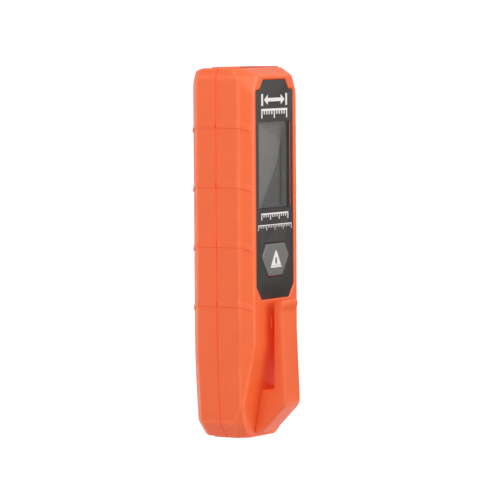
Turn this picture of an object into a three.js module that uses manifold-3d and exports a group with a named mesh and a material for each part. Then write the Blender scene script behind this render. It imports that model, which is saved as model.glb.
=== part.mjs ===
// Pocket laser distance meter: a slim two-shell housing with a display panel and one button
// on the front, a spring belt clip at the foot, the optics under a window in the top end and
// two AAA cells behind a hinged door in the back.
//
// Millimetres, +Z up. The meter stands on its foot, its front faces -Y and +X is to the
// right when the front is read. Everything is drawn about the middle of the housing, and the
// last group shifts it so that the origin is the centre of the whole object's footprint.
import * as THREE from 'three';
import { mergeVertices } from 'three/addons/utils/BufferGeometryUtils.js';
import { ConvexGeometry } from 'three/addons/geometries/ConvexGeometry.js';
import Module from 'manifold-3d';

const wasm = await Module();
wasm.setup();

// ---------------------------------------------------------------- driving dimensions
const HALF_WIDTH = 17.5;
const HALF_DEPTH = 12;
const HEIGHT = 125;
const CHAMFER = 3.8;
const WALL = 1.8;
const FIT = 0.1;
const CUT_GAP = 0.3;

// The seam between the two shells, and the tongue that closes it from inside.
const SEAM_Y = 0.56;
const SEAM_GAP = 0.35;
const TONGUE_REACH = 1.4;
const TONGUE_INSET = 0.9;

// Grip ribs that wrap the sides and the back.
const RIB_PITCH = 20.05;
const RIB_FIRST_Z = 44.75;
const RIB_COUNT = 4;
const RIB_HEIGHT = 2.25;
const RIB_PROUD = 0.3;
const RIB_DROP = 1.7;

// Facets that shape the two ends.
const TOP_SIDE_Z = 122.1;
const TOP_SIDE_IN = 1.5;
const ROOF_Z = 122.5;
const ROOF_RUN = 5;
const CORNER_X = 10.8;
const CORNER_NORMAL = [0.493, -0.837, 0.246];
const SHOULDER_NORMAL = [0.349, -0.513, 0.784];
const LAP_TOP_Z = 31;
const LAP_DEPTH = 5.5;
const EDGE_SUM = HALF_WIDTH + HALF_DEPTH - CHAMFER;

// Where the sides, the back and the chamfers run in towards the two ends: [x, z], [y, z] and
// [|x| + |y|, z].
const SIDE_FOOT = [[11.6, 0], [15.8, 5.4], [17, 18], [HALF_WIDTH, 36]];
const SIDE_TOP = [[HALF_WIDTH, TOP_SIDE_Z], [HALF_WIDTH - TOP_SIDE_IN, HEIGHT]];
const BACK_TOP = [[HALF_DEPTH, 120.5], [HALF_DEPTH - 1.1, 124.1], [HALF_DEPTH - 2.3, HEIGHT]];
const BACK_FOOT = [[HALF_DEPTH - 1, 0], [HALF_DEPTH, 10]];
const BACK_CHAMFER_TOP = [[EDGE_SUM, 120], [24.5, 124.2], [21.6, HEIGHT]];
const BACK_CHAMFER_FOOT = [[18.4, 0], [23.6, 5.7], [EDGE_SUM, 28]];
const FRONT_CHAMFER_FOOT = [[15.6, 0], [20.6, 4.6], [24.2, 11], [EDGE_SUM, LAP_TOP_Z]];

// The front panel, its display and the button.
const GRIP_RIDGES = [-2.9, 2.9];
const PANEL_FACE_Y = -11.75;
const PANEL_BACK_Y = -10.45;
const POCKET_Y = -10.35;
const FLOOR_BACK_Y = -9.15;
const PANEL_TOP_Z = 121.1;
const PANEL_BOTTOM_Z = 47;
const PANEL_HALF = 11.95;
const DISPLAY_HALF = 10.1;
const DISPLAY_Z0 = 77.65;
const DISPLAY_Z1 = 106.9;
const LEDGE = 0.5;
const SKIRT = 0.75;
const LENS_SEAT_Y = -10.85;
const LCD_HALF = 10.6;
const LCD_Z0 = 76;
const LCD_Z1 = 108.5;
const LCD_FACE_Y = -8.2;
const BUTTON_FACE_Y = -12.15;
const BUTTON_MID_Z = 60;
const BUTTON_TRAVEL_ROOM = 0.12;

// Circuit board and the switch on it.
const BOARD_FACE_Y = -5;
const BOARD_BACK_Y = -4;
const BOARD_HALF = 10.4;
const BOARD_Z0 = 24;
const BOARD_Z1 = 91.5;

// Optics under the top window.
const OPTICS_Y = -2;
const OPTICS_HALF = 3.3;
const WINDOW_HALF = 12;
const WINDOW_Y0 = -5.7;
const WINDOW_Y1 = 1.7;
const WINDOW_NOTCH_Z = 120.5;
const CHASSIS_HALF = 8.7;
const CHASSIS_Z0 = 94;
const CHASSIS_Z1 = 121;
const RECEIVER_BORE = 2.7;
const RECEIVER_SEAT = 3.05;
const EMITTER_BORE = 1.75;
const EMITTER_SEAT = 2.05;
const GASKET_HALF = 11.4;
const GASKET_Z0 = 121.1;
const GASKET_Z1 = 123.9;
const RECEIVER_X = 4.2;
const EMITTER_X = -5.5;

// Battery bay and its door.
const CELL_RADIUS = 5.25;
const CELL_LENGTH = 44.5;
const CELL_X = 5.6;
const CELL_Y = 4.6;
const BAY_HALF = 11.2;
const BAY_FLOOR_Y = -0.9;
const BAY_Z0 = 30.5;
const BAY_Z1 = 81.1;
const BAY_WALL = 1.2;
const DOOR_HALF = 12.4;
const DOOR_IN_Y = 10.4;
const DOOR_AXIS_Y = 11.2;
const DOOR_AXIS_Z = 28.3;
const DOOR_BARREL = 0.8;
const DOOR_TOP_Z = 85.6;
const DOOR_PIN = 0.45;
const DOOR_PIN_END = 13.5;
const SCOOP_SIZE = [5.5, 1.3, 3.2];
const GRIP_SIZE = [5.2, 0.9, 2.4];
const SCOOP_CENTRE = [0, HALF_DEPTH + 0.1, DOOR_TOP_Z + 0.6];

// Belt clip.
const CLIP_HALF = 5.2;
const CLIP_EDGE = 0.6;
const CLIP_SPLIT_Z = 18;
const CLIP_MAX_Y = -18.7;
const CLIP_BACK_Y = -14.2;
const CLIP_LEDGE_Z = 16.3;
const CLIP_ROOT_ROUND = 1.3;
const CLIP_TIP_Z = 46.8;
const CLIP_TIP_Y = -16.5;
const CLIP_TIP_ROUND = 1.2;
const CLIP_FOOT_Z = 1.5;

// Screws: [x, z] of each.
const HOUSING_SCREWS = [[-11.3, 16], [11.3, 16], [-11.6, 113], [11.6, 113]];
const BOARD_SCREWS = [[-9, 28], [9, 28], [-9, 71.5], [9, 71.5]];
const CLIP_SCREWS = [[-2.7, 8.5], [2.7, 8.5]];
const HOUSING_BORE = 0.85;
const BOARD_BORE = 0.6;
const CLIP_BORE = 0.8;
const HEAD_SEAT_Y = 9.2;
const HEAD_BORE = 1.95;

// The footprint's middle, from the clip's front to the ribs on the back.
const CENTRE_Y = (CLIP_MAX_Y + HALF_DEPTH + RIB_PROUD) / 2;

// ---------------------------------------------------------------- solids
// A closed three.js geometry as a solid that can be joined and cut.
function solid(geometry) {
  const bare = geometry.index ? geometry.toNonIndexed() : geometry.clone();
  bare.deleteAttribute('normal');
  bare.deleteAttribute('uv');
  const merged = mergeVertices(bare, 1e-4);
  const corners = merged.index.array;
  const kept = [];
  for (let i = 0; i < corners.length; i += 3) {
    const [a, b, c] = corners.slice(i, i + 3);
    if (a !== b && b !== c && c !== a) {
      kept.push(a, b, c);
    }
  }
  return new wasm.Manifold(new wasm.Mesh({
    numProp: 3,
    vertProperties: new Float32Array(merged.attributes.position.array),
    triVerts: new Uint32Array(kept),
  }));
}

function block(x0, x1, y0, y1, z0, z1) {
  const box = new THREE.BoxGeometry(x1 - x0, y1 - y0, z1 - z0);
  box.translate((x0 + x1) / 2, (y0 + y1) / 2, (z0 + z1) / 2);
  return solid(box);
}

function outline(points) {
  return new THREE.Shape(points.map(([a, b]) => new THREE.Vector2(a, b)));
}

// A shape drawn in X and Z (as seen from the front), from y0 back to y1.
function plate(shape, y0, y1) {
  const extruded = new THREE.ExtrudeGeometry(shape, { depth: y1 - y0, bevelEnabled: false });
  extruded.rotateX(Math.PI / 2);
  extruded.translate(0, y1, 0);
  return solid(extruded);
}

// A shape drawn in Y and Z (as seen from the +X side), centred on x = 0, with rounded edges.
function sideProfile(shape, halfWidth, round) {
  const points = shape.getPoints(4).filter(
    (point, i, all) => i === 0 || point.distanceTo(all[i - 1]) > 0.01);
  const extruded = new THREE.ExtrudeGeometry(new THREE.Shape(points), {
    depth: 2 * (halfWidth - round),
    bevelEnabled: round > 0,
    bevelThickness: round,
    bevelSize: round,
    bevelOffset: -round,
    bevelSegments: 3,
  });
  extruded.translate(0, 0, round - halfWidth);
  extruded.applyMatrix4(new THREE.Matrix4().makeBasis(
    new THREE.Vector3(0, 1, 0), new THREE.Vector3(0, 0, 1), new THREE.Vector3(1, 0, 0)));
  return solid(extruded);
}

function rodAlongX(y, z, radius, x0, x1, sides = 16) {
  const rod = new THREE.CylinderGeometry(radius, radius, x1 - x0, sides);
  rod.rotateZ(Math.PI / 2);
  rod.translate((x0 + x1) / 2, y, z);
  return solid(rod);
}

function rodAlongY(x, z, radius, y0, y1, sides = 16) {
  const rod = new THREE.CylinderGeometry(radius, radius, y1 - y0, sides);
  rod.translate(x, (y0 + y1) / 2, z);
  return solid(rod);
}

function rodAlongZ(x, y, radius, z0, z1, sides = 24) {
  const rod = new THREE.CylinderGeometry(radius, radius, z1 - z0, sides);
  rod.rotateX(Math.PI / 2);
  rod.translate(x, y, (z0 + z1) / 2);
  return solid(rod);
}

// A profile of [radius, z] turned about the vertical line through (x, y).
function turned(profile, x, y, sides = 24) {
  const points = profile.map(([r, z]) => new THREE.Vector2(r, z));
  const lathe = new THREE.LatheGeometry(points, sides);
  lathe.rotateX(Math.PI / 2);
  lathe.translate(x, y, 0);
  return solid(lathe);
}

// Cuts away what lies beyond the plane normal . p = distance.
function trim(body, normal, distance) {
  const size = 400;
  const unit = new THREE.Vector3(...normal).normalize();
  const beyond = new THREE.BoxGeometry(size, size, size);
  beyond.translate(0, 0, size / 2);
  beyond.applyQuaternion(new THREE.Quaternion().setFromUnitVectors(
    new THREE.Vector3(0, 0, 1), unit));
  beyond.translate(...unit.clone().multiplyScalar(distance));
  return body.subtract(solid(beyond));
}

function joinAll(bodies) {
  return bodies.reduce((whole, body) => whole.add(body));
}

function cutAll(body, tools) {
  return tools.reduce((rest, tool) => rest.subtract(tool), body);
}

// ---------------------------------------------------------------- housing envelope
// A plane is [unit normal, distance from the origin].
function planeThrough(normal, point) {
  const unit = new THREE.Vector3(...normal).normalize();
  return [unit.toArray(), unit.dot(new THREE.Vector3(...point))];
}

// The planes through each pair of neighbouring points of a line going up.
function facetsAlong(line, planeOf) {
  return line.slice(1).map((high, i) => planeOf(line[i], high));
}

function sidePlane([x0, z0], [x1, z1]) {
  return planeThrough([z1 - z0, 0, x0 - x1], [x0, 0, z0]);
}

function backPlane([y0, z0], [y1, z1]) {
  return planeThrough([0, z1 - z0, y0 - y1], [0, y0, z0]);
}

function backChamferPlane([sum0, z0], [sum1, z1]) {
  return planeThrough([z1 - z0, z1 - z0, sum0 - sum1], [sum0, 0, z0]);
}

function frontChamferPlane([sum0, z0], [sum1, z1]) {
  return planeThrough([z1 - z0, z0 - z1, sum0 - sum1], [sum0, 0, z0]);
}

function mirrorX([normal, distance]) {
  return [[-normal[0], normal[1], normal[2]], distance];
}

function housingFacets() {
  const corner = [CORNER_X, -HALF_DEPTH, ROOF_Z];
  const right = [
    planeThrough([1, -1, 0], [EDGE_SUM, 0, 0]),
    planeThrough([1, 1, 0], [EDGE_SUM, 0, 0]),
    planeThrough(CORNER_NORMAL, corner),
    planeThrough(SHOULDER_NORMAL, corner),
    ...facetsAlong(SIDE_TOP, sidePlane),
    ...facetsAlong(SIDE_FOOT, sidePlane),
    ...facetsAlong(BACK_CHAMFER_TOP, backChamferPlane),
    ...facetsAlong(BACK_CHAMFER_FOOT, backChamferPlane),
    ...facetsAlong(FRONT_CHAMFER_FOOT, frontChamferPlane),
  ];
  const middle = [
    planeThrough([0, ROOF_Z - HEIGHT, ROOF_RUN], corner),
    planeThrough([0, -LAP_TOP_Z, -LAP_DEPTH], [0, -HALF_DEPTH, LAP_TOP_Z]),
    ...facetsAlong(BACK_TOP, backPlane),
    ...facetsAlong(BACK_FOOT, backPlane),
  ];
  return [...right, ...right.map(mirrorX), ...middle];
}

// The outside of the housing with every face moved in by `inset`.
function envelope(inset) {
  const x = HALF_WIDTH - inset;
  const y = HALF_DEPTH - inset;
  let body = block(-x, x, -y, y, inset, HEIGHT - inset);
  for (const [normal, distance] of housingFacets()) {
    body = trim(body, normal, distance - inset);
  }
  return body;
}

// One rib: level round the sides, then down the chamfers to the front and back edges.
function rib(z) {
  const out = RIB_PROUD;
  const diagonal = EDGE_SUM + out * Math.SQRT2;
  const sideX = HALF_WIDTH + out;
  const frontY = HALF_DEPTH - 0.2;
  const backY = HALF_DEPTH + out;
  const section = [
    [sideX, diagonal - sideX, 0],
    [sideX, sideX - diagonal, 0],
    [diagonal - frontY, -frontY, RIB_DROP],
    [diagonal - backY, backY, RIB_DROP],
  ];
  const slope = 0.5;
  const points = [];
  for (const [px, py, drop] of section) {
    for (const side of [-1, 1]) {
      const inX = px - out * Math.sign(px);
      const inY = py > HALF_DEPTH ? HALF_DEPTH : py;
      points.push(new THREE.Vector3(side * px, py, z - drop));
      points.push(new THREE.Vector3(side * px, py, z - drop + RIB_HEIGHT - slope));
      points.push(new THREE.Vector3(side * inX, inY, z - drop + RIB_HEIGHT));
    }
  }
  return solid(new ConvexGeometry(points));
}

const ribs = Array.from({ length: RIB_COUNT }, (_, i) => rib(RIB_FIRST_Z + i * RIB_PITCH));
const skin = joinAll([envelope(0), ...ribs]);
const hollow = envelope(WALL);
const tongueOuter = envelope(TONGUE_INSET);
const tongueBody = envelope(TONGUE_INSET + FIT);
const frontEnd = SEAM_Y - SEAM_GAP / 2;
const rearEnd = SEAM_Y + SEAM_GAP / 2;
const FAR = 60;

function slab(y0, y1) {
  return block(-FAR, FAR, y0, y1, -FAR, HEIGHT + FAR);
}

// ---------------------------------------------------------------- outlines on the front
function panelOutline(shrink) {
  const half = PANEL_HALF - shrink;
  return outline([
    [-8.67 + 0.6 * shrink, PANEL_BOTTOM_Z + shrink],
    [8.67 - 0.6 * shrink, PANEL_BOTTOM_Z + shrink],
    [half, 51.5 + 0.4 * shrink],
    [half, 117.5 - shrink],
    [9.3 - shrink, 117.9 - shrink],
    [7.2 - 0.8 * shrink, PANEL_TOP_Z - shrink],
    [-7.2 + 0.8 * shrink, PANEL_TOP_Z - shrink],
    [-9.3 + shrink, 117.9 - shrink],
    [-half, 117.5 - shrink],
    [-half, 51.5 + 0.4 * shrink],
  ]);
}

function buttonOutline(grow) {
  return outline([
    [-4.3 - 0.6 * grow, 54.7 - grow],
    [4.3 + 0.6 * grow, 54.7 - grow],
    [8.75 + 1.2 * grow, 61.3],
    [6 + 0.7 * grow, 65.7 + grow],
    [-6 - 0.7 * grow, 65.7 + grow],
    [-8.75 - 1.2 * grow, 61.3],
  ]);
}

function legendOutline(grow) {
  return outline([
    [-3.62 - 1.6 * grow, 57.5 - grow],
    [3.62 + 1.6 * grow, 57.5 - grow],
    [0, 63.7 + 1.8 * grow],
  ]);
}

// ---------------------------------------------------------------- shells
function frontShell() {
  const cavity = hollow.intersect(slab(FLOOR_BACK_Y, FAR));
  const rebate = tongueOuter.intersect(slab(SEAM_Y - TONGUE_REACH - CUT_GAP, FAR));
  const bosses = HOUSING_SCREWS.map(([x, z]) => rodAlongY(x, z, 2.1, -11, SEAM_Y - 0.2));
  const posts = BOARD_SCREWS.map(([x, z]) => rodAlongY(x, z, 1.5, -10, BOARD_FACE_Y - 0.05));
  const clipPad = block(-4.8, 4.8, -9, -5.5, 5.4, 11.6);
  const ridges = GRIP_RIDGES.map((x) => block(x - 0.3, x + 0.3, -12.35, -11, 36.7, 41));
  let shell = skin.intersect(slab(-FAR, frontEnd)).subtract(cavity).subtract(rebate);
  const inner = envelope(WALL / 2);
  shell = joinAll([shell, ...[...bosses, ...posts, clipPad].map((b) => b.intersect(inner))]);
  shell = joinAll([shell, ...ridges]);
  return cutAll(shell, [
    plate(panelOutline(0), -14, POCKET_Y),
    block(-11.1, 11.1, -11, FLOOR_BACK_Y + 0.2, 76.65, 107.9),
    plate(buttonOutline(0.25), -11, FLOOR_BACK_Y + 0.2),
    block(-WINDOW_HALF - 0.05, WINDOW_HALF + 0.05, WINDOW_Y0 - 0.05, FAR, WINDOW_NOTCH_Z, FAR * 3),
    ...HOUSING_SCREWS.map(([x, z]) => rodAlongY(x, z, HOUSING_BORE, -6.5, 2)),
    ...BOARD_SCREWS.map(([x, z]) => rodAlongY(x, z, BOARD_BORE, -8.6, -3)),
    ...CLIP_SCREWS.map(([x, z]) => rodAlongY(x, z, CLIP_BORE, -14, -4)),
  ]);
}

// A shallow dish over the door's upper edge, half in the shell and half in the door.
function thumbScoop(size) {
  const dish = new THREE.SphereGeometry(1, 20, 12);
  dish.scale(...size);
  dish.translate(...SCOOP_CENTRE);
  return solid(dish);
}

function rearShell() {
  const tongue = tongueBody.subtract(hollow).intersect(slab(SEAM_Y - TONGUE_REACH, rearEnd + 1));
  const body = skin.intersect(slab(rearEnd, FAR)).subtract(hollow);
  const bay = block(-BAY_HALF - BAY_WALL, BAY_HALF + BAY_WALL, BAY_FLOOR_Y - 1.4, 11,
    BAY_Z0 - BAY_WALL, BAY_Z1 + BAY_WALL);
  const doorFrame = block(-14.2, 14.2, 8.7, 11, 25.4, 88.4);
  const bosses = HOUSING_SCREWS.map(([x, z]) => rodAlongY(x, z, 2.7, SEAM_Y + 0.5, 11));
  const inner = envelope(WALL / 2);
  const added = [bay, doorFrame, ...bosses].map((part) => part.intersect(inner));
  return cutAll(joinAll([body, tongue, ...added]), [
    block(-BAY_HALF, BAY_HALF, BAY_FLOOR_Y, FAR, BAY_Z0, BAY_Z1),
    block(-DOOR_HALF - CUT_GAP, DOOR_HALF + CUT_GAP, DOOR_IN_Y - CUT_GAP, FAR,
      DOOR_AXIS_Z - DOOR_BARREL - CUT_GAP, DOOR_TOP_Z + CUT_GAP),
    rodAlongX(DOOR_AXIS_Y, DOOR_AXIS_Z, DOOR_PIN + FIT, -DOOR_PIN_END - 0.2, DOOR_PIN_END + 0.2),
    thumbScoop(SCOOP_SIZE),
    block(-WINDOW_HALF - 0.05, WINDOW_HALF + 0.05, -FAR, WINDOW_Y1 + 0.05, WINDOW_NOTCH_Z, FAR * 3),
    ...HOUSING_SCREWS.map(([x, z]) => rodAlongY(x, z, HOUSING_BORE + 0.1, -2, FAR)),
    ...HOUSING_SCREWS.map(([x, z]) => rodAlongY(x, z, HEAD_BORE, HEAD_SEAT_Y, FAR)),
  ]);
}

function batteryDoor() {
  const region = block(-DOOR_HALF, DOOR_HALF, DOOR_IN_Y, FAR, DOOR_AXIS_Z, DOOR_TOP_Z);
  const barrel = rodAlongX(DOOR_AXIS_Y, DOOR_AXIS_Z, DOOR_BARREL, -DOOR_HALF, DOOR_HALF);
  const pins = rodAlongX(DOOR_AXIS_Y, DOOR_AXIS_Z, DOOR_PIN, -DOOR_PIN_END, DOOR_PIN_END);
  const lip = block(-4, 4, DOOR_IN_Y + 0.5, HALF_DEPTH - 0.1, DOOR_TOP_Z - 2, DOOR_TOP_Z);
  return joinAll([skin.intersect(region).subtract(thumbScoop(GRIP_SIZE)), lip, barrel, pins]);
}

// ---------------------------------------------------------------- front panel and button
function frontPanel() {
  const skirtHalf = DISPLAY_HALF + SKIRT;
  const skirt = block(-skirtHalf, skirtHalf, PANEL_BACK_Y - 0.5, LCD_FACE_Y - FIT,
    DISPLAY_Z0 - SKIRT, DISPLAY_Z1 + SKIRT);
  const well = DISPLAY_HALF - LEDGE;
  return cutAll(plate(panelOutline(FIT), PANEL_FACE_Y, PANEL_BACK_Y).add(skirt), [
    block(-DISPLAY_HALF, DISPLAY_HALF, -FAR, LENS_SEAT_Y, DISPLAY_Z0, DISPLAY_Z1),
    block(-well, well, -FAR, 0, DISPLAY_Z0 + LEDGE, DISPLAY_Z1 - LEDGE),
    plate(buttonOutline(0.3), -FAR, -9),
  ]);
}

function buttonCap() {
  const cap = plate(buttonOutline(0), BUTTON_FACE_Y, -8.4);
  const flange = plate(buttonOutline(0.9), -9, -8.4);
  const plungerTop = -7.6;
  const stem = rodAlongY(0, BUTTON_MID_Z, 1.5, -8.6, plungerTop - BUTTON_TRAVEL_ROOM);
  const inlay = plate(legendOutline(0.05), BUTTON_FACE_Y - 1, BUTTON_FACE_Y + 0.25);
  return joinAll([cap, flange, stem]).subtract(inlay);
}

function buttonLegend() {
  const mark = plate(legendOutline(0), BUTTON_FACE_Y - 0.05, BUTTON_FACE_Y + 0.2);
  return mark.subtract(rodAlongY(0, 59.7, 0.7, -14, -10, 16));
}

// ---------------------------------------------------------------- electronics
function circuitBoard() {
  const board = block(-BOARD_HALF, BOARD_HALF, BOARD_FACE_Y, BOARD_BACK_Y, BOARD_Z0, BOARD_Z1);
  return cutAll(board, BOARD_SCREWS.map(([x, z]) => rodAlongY(x, z, 0.7, -6, -3)));
}

function switchBody() {
  const half = 3;
  const body = block(-half, half, -6.85, BOARD_FACE_Y - 0.05, BUTTON_MID_Z - half,
    BUTTON_MID_Z + half);
  return body.subtract(rodAlongY(0, BUTTON_MID_Z, 1.75, -8, -6.4));
}

function displayFlex() {
  return sideProfile(outline([
    [-7.4, 75.9], [-6.9, 75.9], [-6.2, 74.2], [-5.2, 73.4], [-5.1, 73.4], [-5.1, 69.6],
    [-5.4, 69.6], [-5.4, 73.1], [-6.5, 73.9], [-7.4, 75.5],
  ]), 4, 0);
}

function opticsChassis() {
  const body = block(-CHASSIS_HALF, CHASSIS_HALF, OPTICS_Y - OPTICS_HALF,
    OPTICS_Y + OPTICS_HALF, CHASSIS_Z0, CHASSIS_Z1);
  return cutAll(body, [
    rodAlongZ(RECEIVER_X, OPTICS_Y, RECEIVER_BORE, 0, HEIGHT),
    rodAlongZ(RECEIVER_X, OPTICS_Y, RECEIVER_SEAT, 118.4, HEIGHT),
    rodAlongZ(EMITTER_X, OPTICS_Y, EMITTER_BORE, 0, HEIGHT),
    rodAlongZ(EMITTER_X, OPTICS_Y, EMITTER_SEAT, 118.6, HEIGHT),
  ]);
}

// A lens with a domed top, on a flat base at z0.
function domedLens(x, radius, z0, rim, crown) {
  const profile = [[0, z0], [radius, z0], [radius, z0 + rim]];
  const steps = 5;
  for (let i = 1; i <= steps; i += 1) {
    const angle = (i / steps) * Math.PI / 2;
    profile.push([radius * Math.cos(angle), z0 + rim + crown * Math.sin(angle)]);
  }
  profile[profile.length - 1][0] = 0;
  return turned(profile, x, OPTICS_Y);
}

function windowGasket() {
  const ring = block(-GASKET_HALF, GASKET_HALF, WINDOW_Y0 + 0.3, WINDOW_Y1 - 0.3, GASKET_Z0,
    GASKET_Z1);
  const opening = GASKET_HALF - 2;
  return ring.subtract(block(-opening, opening, WINDOW_Y0 + 1.1, WINDOW_Y1 - 1.1, 0, HEIGHT));
}

function opticsBezel() {
  const edge = WINDOW_HALF + 0.7;
  const frame = block(-edge, edge, WINDOW_Y0, 5.5, HEIGHT + 0.02, HEIGHT + 0.37);
  const opening = WINDOW_HALF + 0.05;
  return frame.subtract(block(-opening, opening, -FAR, WINDOW_Y1 + 0.05, 120, 130));
}

// ---------------------------------------------------------------- power
function cell(x, z0, noseUp) {
  const body = CELL_LENGTH - 1;
  const profile = [
    [0, 0], [CELL_RADIUS - 0.4, 0], [CELL_RADIUS, 0.4], [CELL_RADIUS, body - 0.5],
    [CELL_RADIUS - 0.5, body], [1.9, body], [1.9, CELL_LENGTH], [0, CELL_LENGTH],
  ];
  const upright = profile.map(([r, z]) => [r, z0 + z]);
  const flipped = profile.map(([r, z]) => [r, z0 + CELL_LENGTH - z]).reverse();
  return turned(noseUp ? upright : flipped, x, CELL_Y);
}

function contactSpring(x, z0, z1) {
  const turns = 4;
  const wire = 0.3;
  const points = [];
  const steps = turns * 9;
  for (let i = 0; i <= steps; i += 1) {
    const share = i / steps;
    const angle = share * turns * 2 * Math.PI;
    const radius = 3.2 - 1.0 * share;
    const z = z0 + wire + (z1 - z0 - 2 * wire) * share;
    points.push(new THREE.Vector3(
      x + radius * Math.cos(angle), CELL_Y + radius * Math.sin(angle), z));
  }
  const round = new THREE.Shape();
  round.absarc(0, 0, wire, 0, 2 * Math.PI);
  return solid(new THREE.ExtrudeGeometry(round, {
    steps,
    curveSegments: 2,
    bevelEnabled: false,
    extrudePath: new THREE.CatmullRomCurve3(points),
  }));
}

// ---------------------------------------------------------------- fasteners
// A pan-head screw along Y. `direction` +1 puts the head on the +Y side.
function screw(x, z, seatY, headRadius, headHeight, shankRadius, length, direction) {
  const headEnd = seatY + direction * headHeight;
  const tip = seatY - direction * length;
  const low = Math.min;
  const high = Math.max;
  const head = rodAlongY(x, z, headRadius, low(seatY, headEnd), high(seatY, headEnd));
  const shank = rodAlongY(x, z, shankRadius, low(tip, seatY), high(tip, seatY), 12);
  const slotDepth = headHeight * 0.55;
  const slotLength = headRadius * 0.65;
  const slotWidth = headRadius * 0.14;
  const y0 = low(headEnd - direction * slotDepth, headEnd + direction);
  const y1 = high(headEnd - direction * slotDepth, headEnd + direction);
  return cutAll(head.add(shank), [
    block(x - slotLength, x + slotLength, y0, y1, z - slotWidth, z + slotWidth),
    block(x - slotWidth, x + slotWidth, y0, y1, z - slotLength, z + slotLength),
  ]);
}

// ---------------------------------------------------------------- belt clip
// Side view of the whole clip: a foot against the lapped front, and a tapering arm.
function clipProfile() {
  const lapY = (z) => -HALF_DEPTH + (LAP_DEPTH / LAP_TOP_Z) * (LAP_TOP_Z - z) - FIT;
  const root = CLIP_ROOT_ROUND;
  const profile = new THREE.Shape();
  profile.moveTo(lapY(CLIP_LEDGE_Z), CLIP_LEDGE_Z);
  profile.absarc(CLIP_BACK_Y + root, CLIP_LEDGE_Z + root, root, -Math.PI / 2, -Math.PI, true);
  profile.lineTo(CLIP_BACK_Y, CLIP_TIP_Z - 3.6);
  profile.quadraticCurveTo(CLIP_BACK_Y - 0.2, CLIP_TIP_Z, CLIP_TIP_Y, CLIP_TIP_Z);
  profile.absarc(CLIP_TIP_Y, CLIP_TIP_Z - CLIP_TIP_ROUND, CLIP_TIP_ROUND, Math.PI / 2, Math.PI,
    false);
  profile.lineTo(CLIP_MAX_Y + 0.3, 14.4);
  profile.quadraticCurveTo(CLIP_MAX_Y, 13.4, CLIP_MAX_Y, 12.4);
  profile.quadraticCurveTo(CLIP_MAX_Y, 10.4, CLIP_MAX_Y + 0.9, 9.6);
  profile.lineTo(-9.4, CLIP_FOOT_Z + 0.4);
  profile.quadraticCurveTo(-9.0, CLIP_FOOT_Z, -8.4, CLIP_FOOT_Z);
  profile.lineTo(lapY(CLIP_FOOT_Z), CLIP_FOOT_Z);
  return profile;
}

const wholeClip = sideProfile(clipProfile(), CLIP_HALF, CLIP_EDGE);

function clipRoot() {
  const root = wholeClip.intersect(block(-FAR, FAR, -FAR, FAR, -FAR, CLIP_SPLIT_Z - CUT_GAP / 2));
  return cutAll(root, CLIP_SCREWS.map(([x, z]) => rodAlongY(x, z, CLIP_BORE, -13.2, 0)));
}

function clipArm() {
  return wholeClip.intersect(block(-FAR, FAR, -FAR, FAR, CLIP_SPLIT_Z + CUT_GAP / 2, FAR));
}

// ---------------------------------------------------------------- materials
function finish(color, roughness, metalness) {
  return new THREE.MeshStandardMaterial({ color, roughness, metalness });
}

const orange = finish(0xf2683a, 0.55, 0);
const panelGrey = finish(0x3c3d3a, 0.45, 0);
const buttonGrey = finish(0x6c6f6d, 0.5, 0);
const white = finish(0xf2f2f0, 0.5, 0);
const smoked = finish(0x2a2a2c, 0.08, 0);
const clear = finish(0x9a9c98, 0.08, 0);
const lcdGrey = finish(0x787b74, 0.3, 0);
const diffuser = finish(0xe8e8e2, 0.6, 0);
const copperFlex = finish(0xb8742c, 0.45, 0);
const boardGreen = finish(0x1f5a36, 0.5, 0);
const chipBlack = finish(0x1b1b1d, 0.5, 0);
const blackPlastic = finish(0x202022, 0.6, 0);
const foam = finish(0x2b2b2b, 0.95, 0);
const glass = finish(0xb9d2dc, 0.05, 0);
const steel = finish(0xb8babd, 0.32, 1);
const brass = finish(0xc49a4a, 0.3, 1);
const cellWrap = finish(0x2d3f57, 0.4, 0.1);

// ---------------------------------------------------------------- assembly
const device = new THREE.Group();
device.position.y = -CENTRE_Y;

function place(name, body, material) {
  const { vertProperties, triVerts, numProp } = body.getMesh();
  const geometry = new THREE.BufferGeometry();
  const positions = new Float32Array(vertProperties.length / numProp * 3);
  for (let i = 0; i < positions.length / 3; i += 1) {
    for (let k = 0; k < 3; k += 1) {
      positions[3 * i + k] = vertProperties[numProp * i + k];
    }
  }
  geometry.setAttribute('position', new THREE.BufferAttribute(positions, 3));
  geometry.setIndex(new THREE.BufferAttribute(new Uint32Array(triVerts), 1));
  geometry.computeVertexNormals();
  const mesh = new THREE.Mesh(geometry, material);
  mesh.name = name;
  device.add(mesh);
}

place('front_shell', frontShell(), orange);
place('rear_shell', rearShell(), orange);
place('battery_door', batteryDoor(), orange);
place('door_foam_pad', block(-9, 9, CELL_Y + CELL_RADIUS + 0.1, DOOR_IN_Y - 0.02, 45, 70), foam);

place('front_panel', frontPanel(), panelGrey);
place('display_window', block(-DISPLAY_HALF + 0.08, DISPLAY_HALF - 0.08, PANEL_FACE_Y + 0.05,
  LENS_SEAT_Y - 0.03, DISPLAY_Z0 + 0.08, DISPLAY_Z1 - 0.08), clear);
place('lcd_glass', block(-LCD_HALF, LCD_HALF, LCD_FACE_Y, -6.9, LCD_Z0, LCD_Z1), lcdGrey);
place('lcd_backlight', block(-LCD_HALF, LCD_HALF, -6.85, -5.7, LCD_Z0 + 0.5, LCD_Z1 - 0.5),
  diffuser);
place('lcd_flex', displayFlex(), copperFlex);

place('button_cap', buttonCap(), buttonGrey);
place('button_legend', buttonLegend(), white);
place('switch_body', switchBody(), blackPlastic);
place('switch_plunger', rodAlongY(0, BUTTON_MID_Z, 1.6, -7.6, -6.9), buttonGrey);

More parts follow.
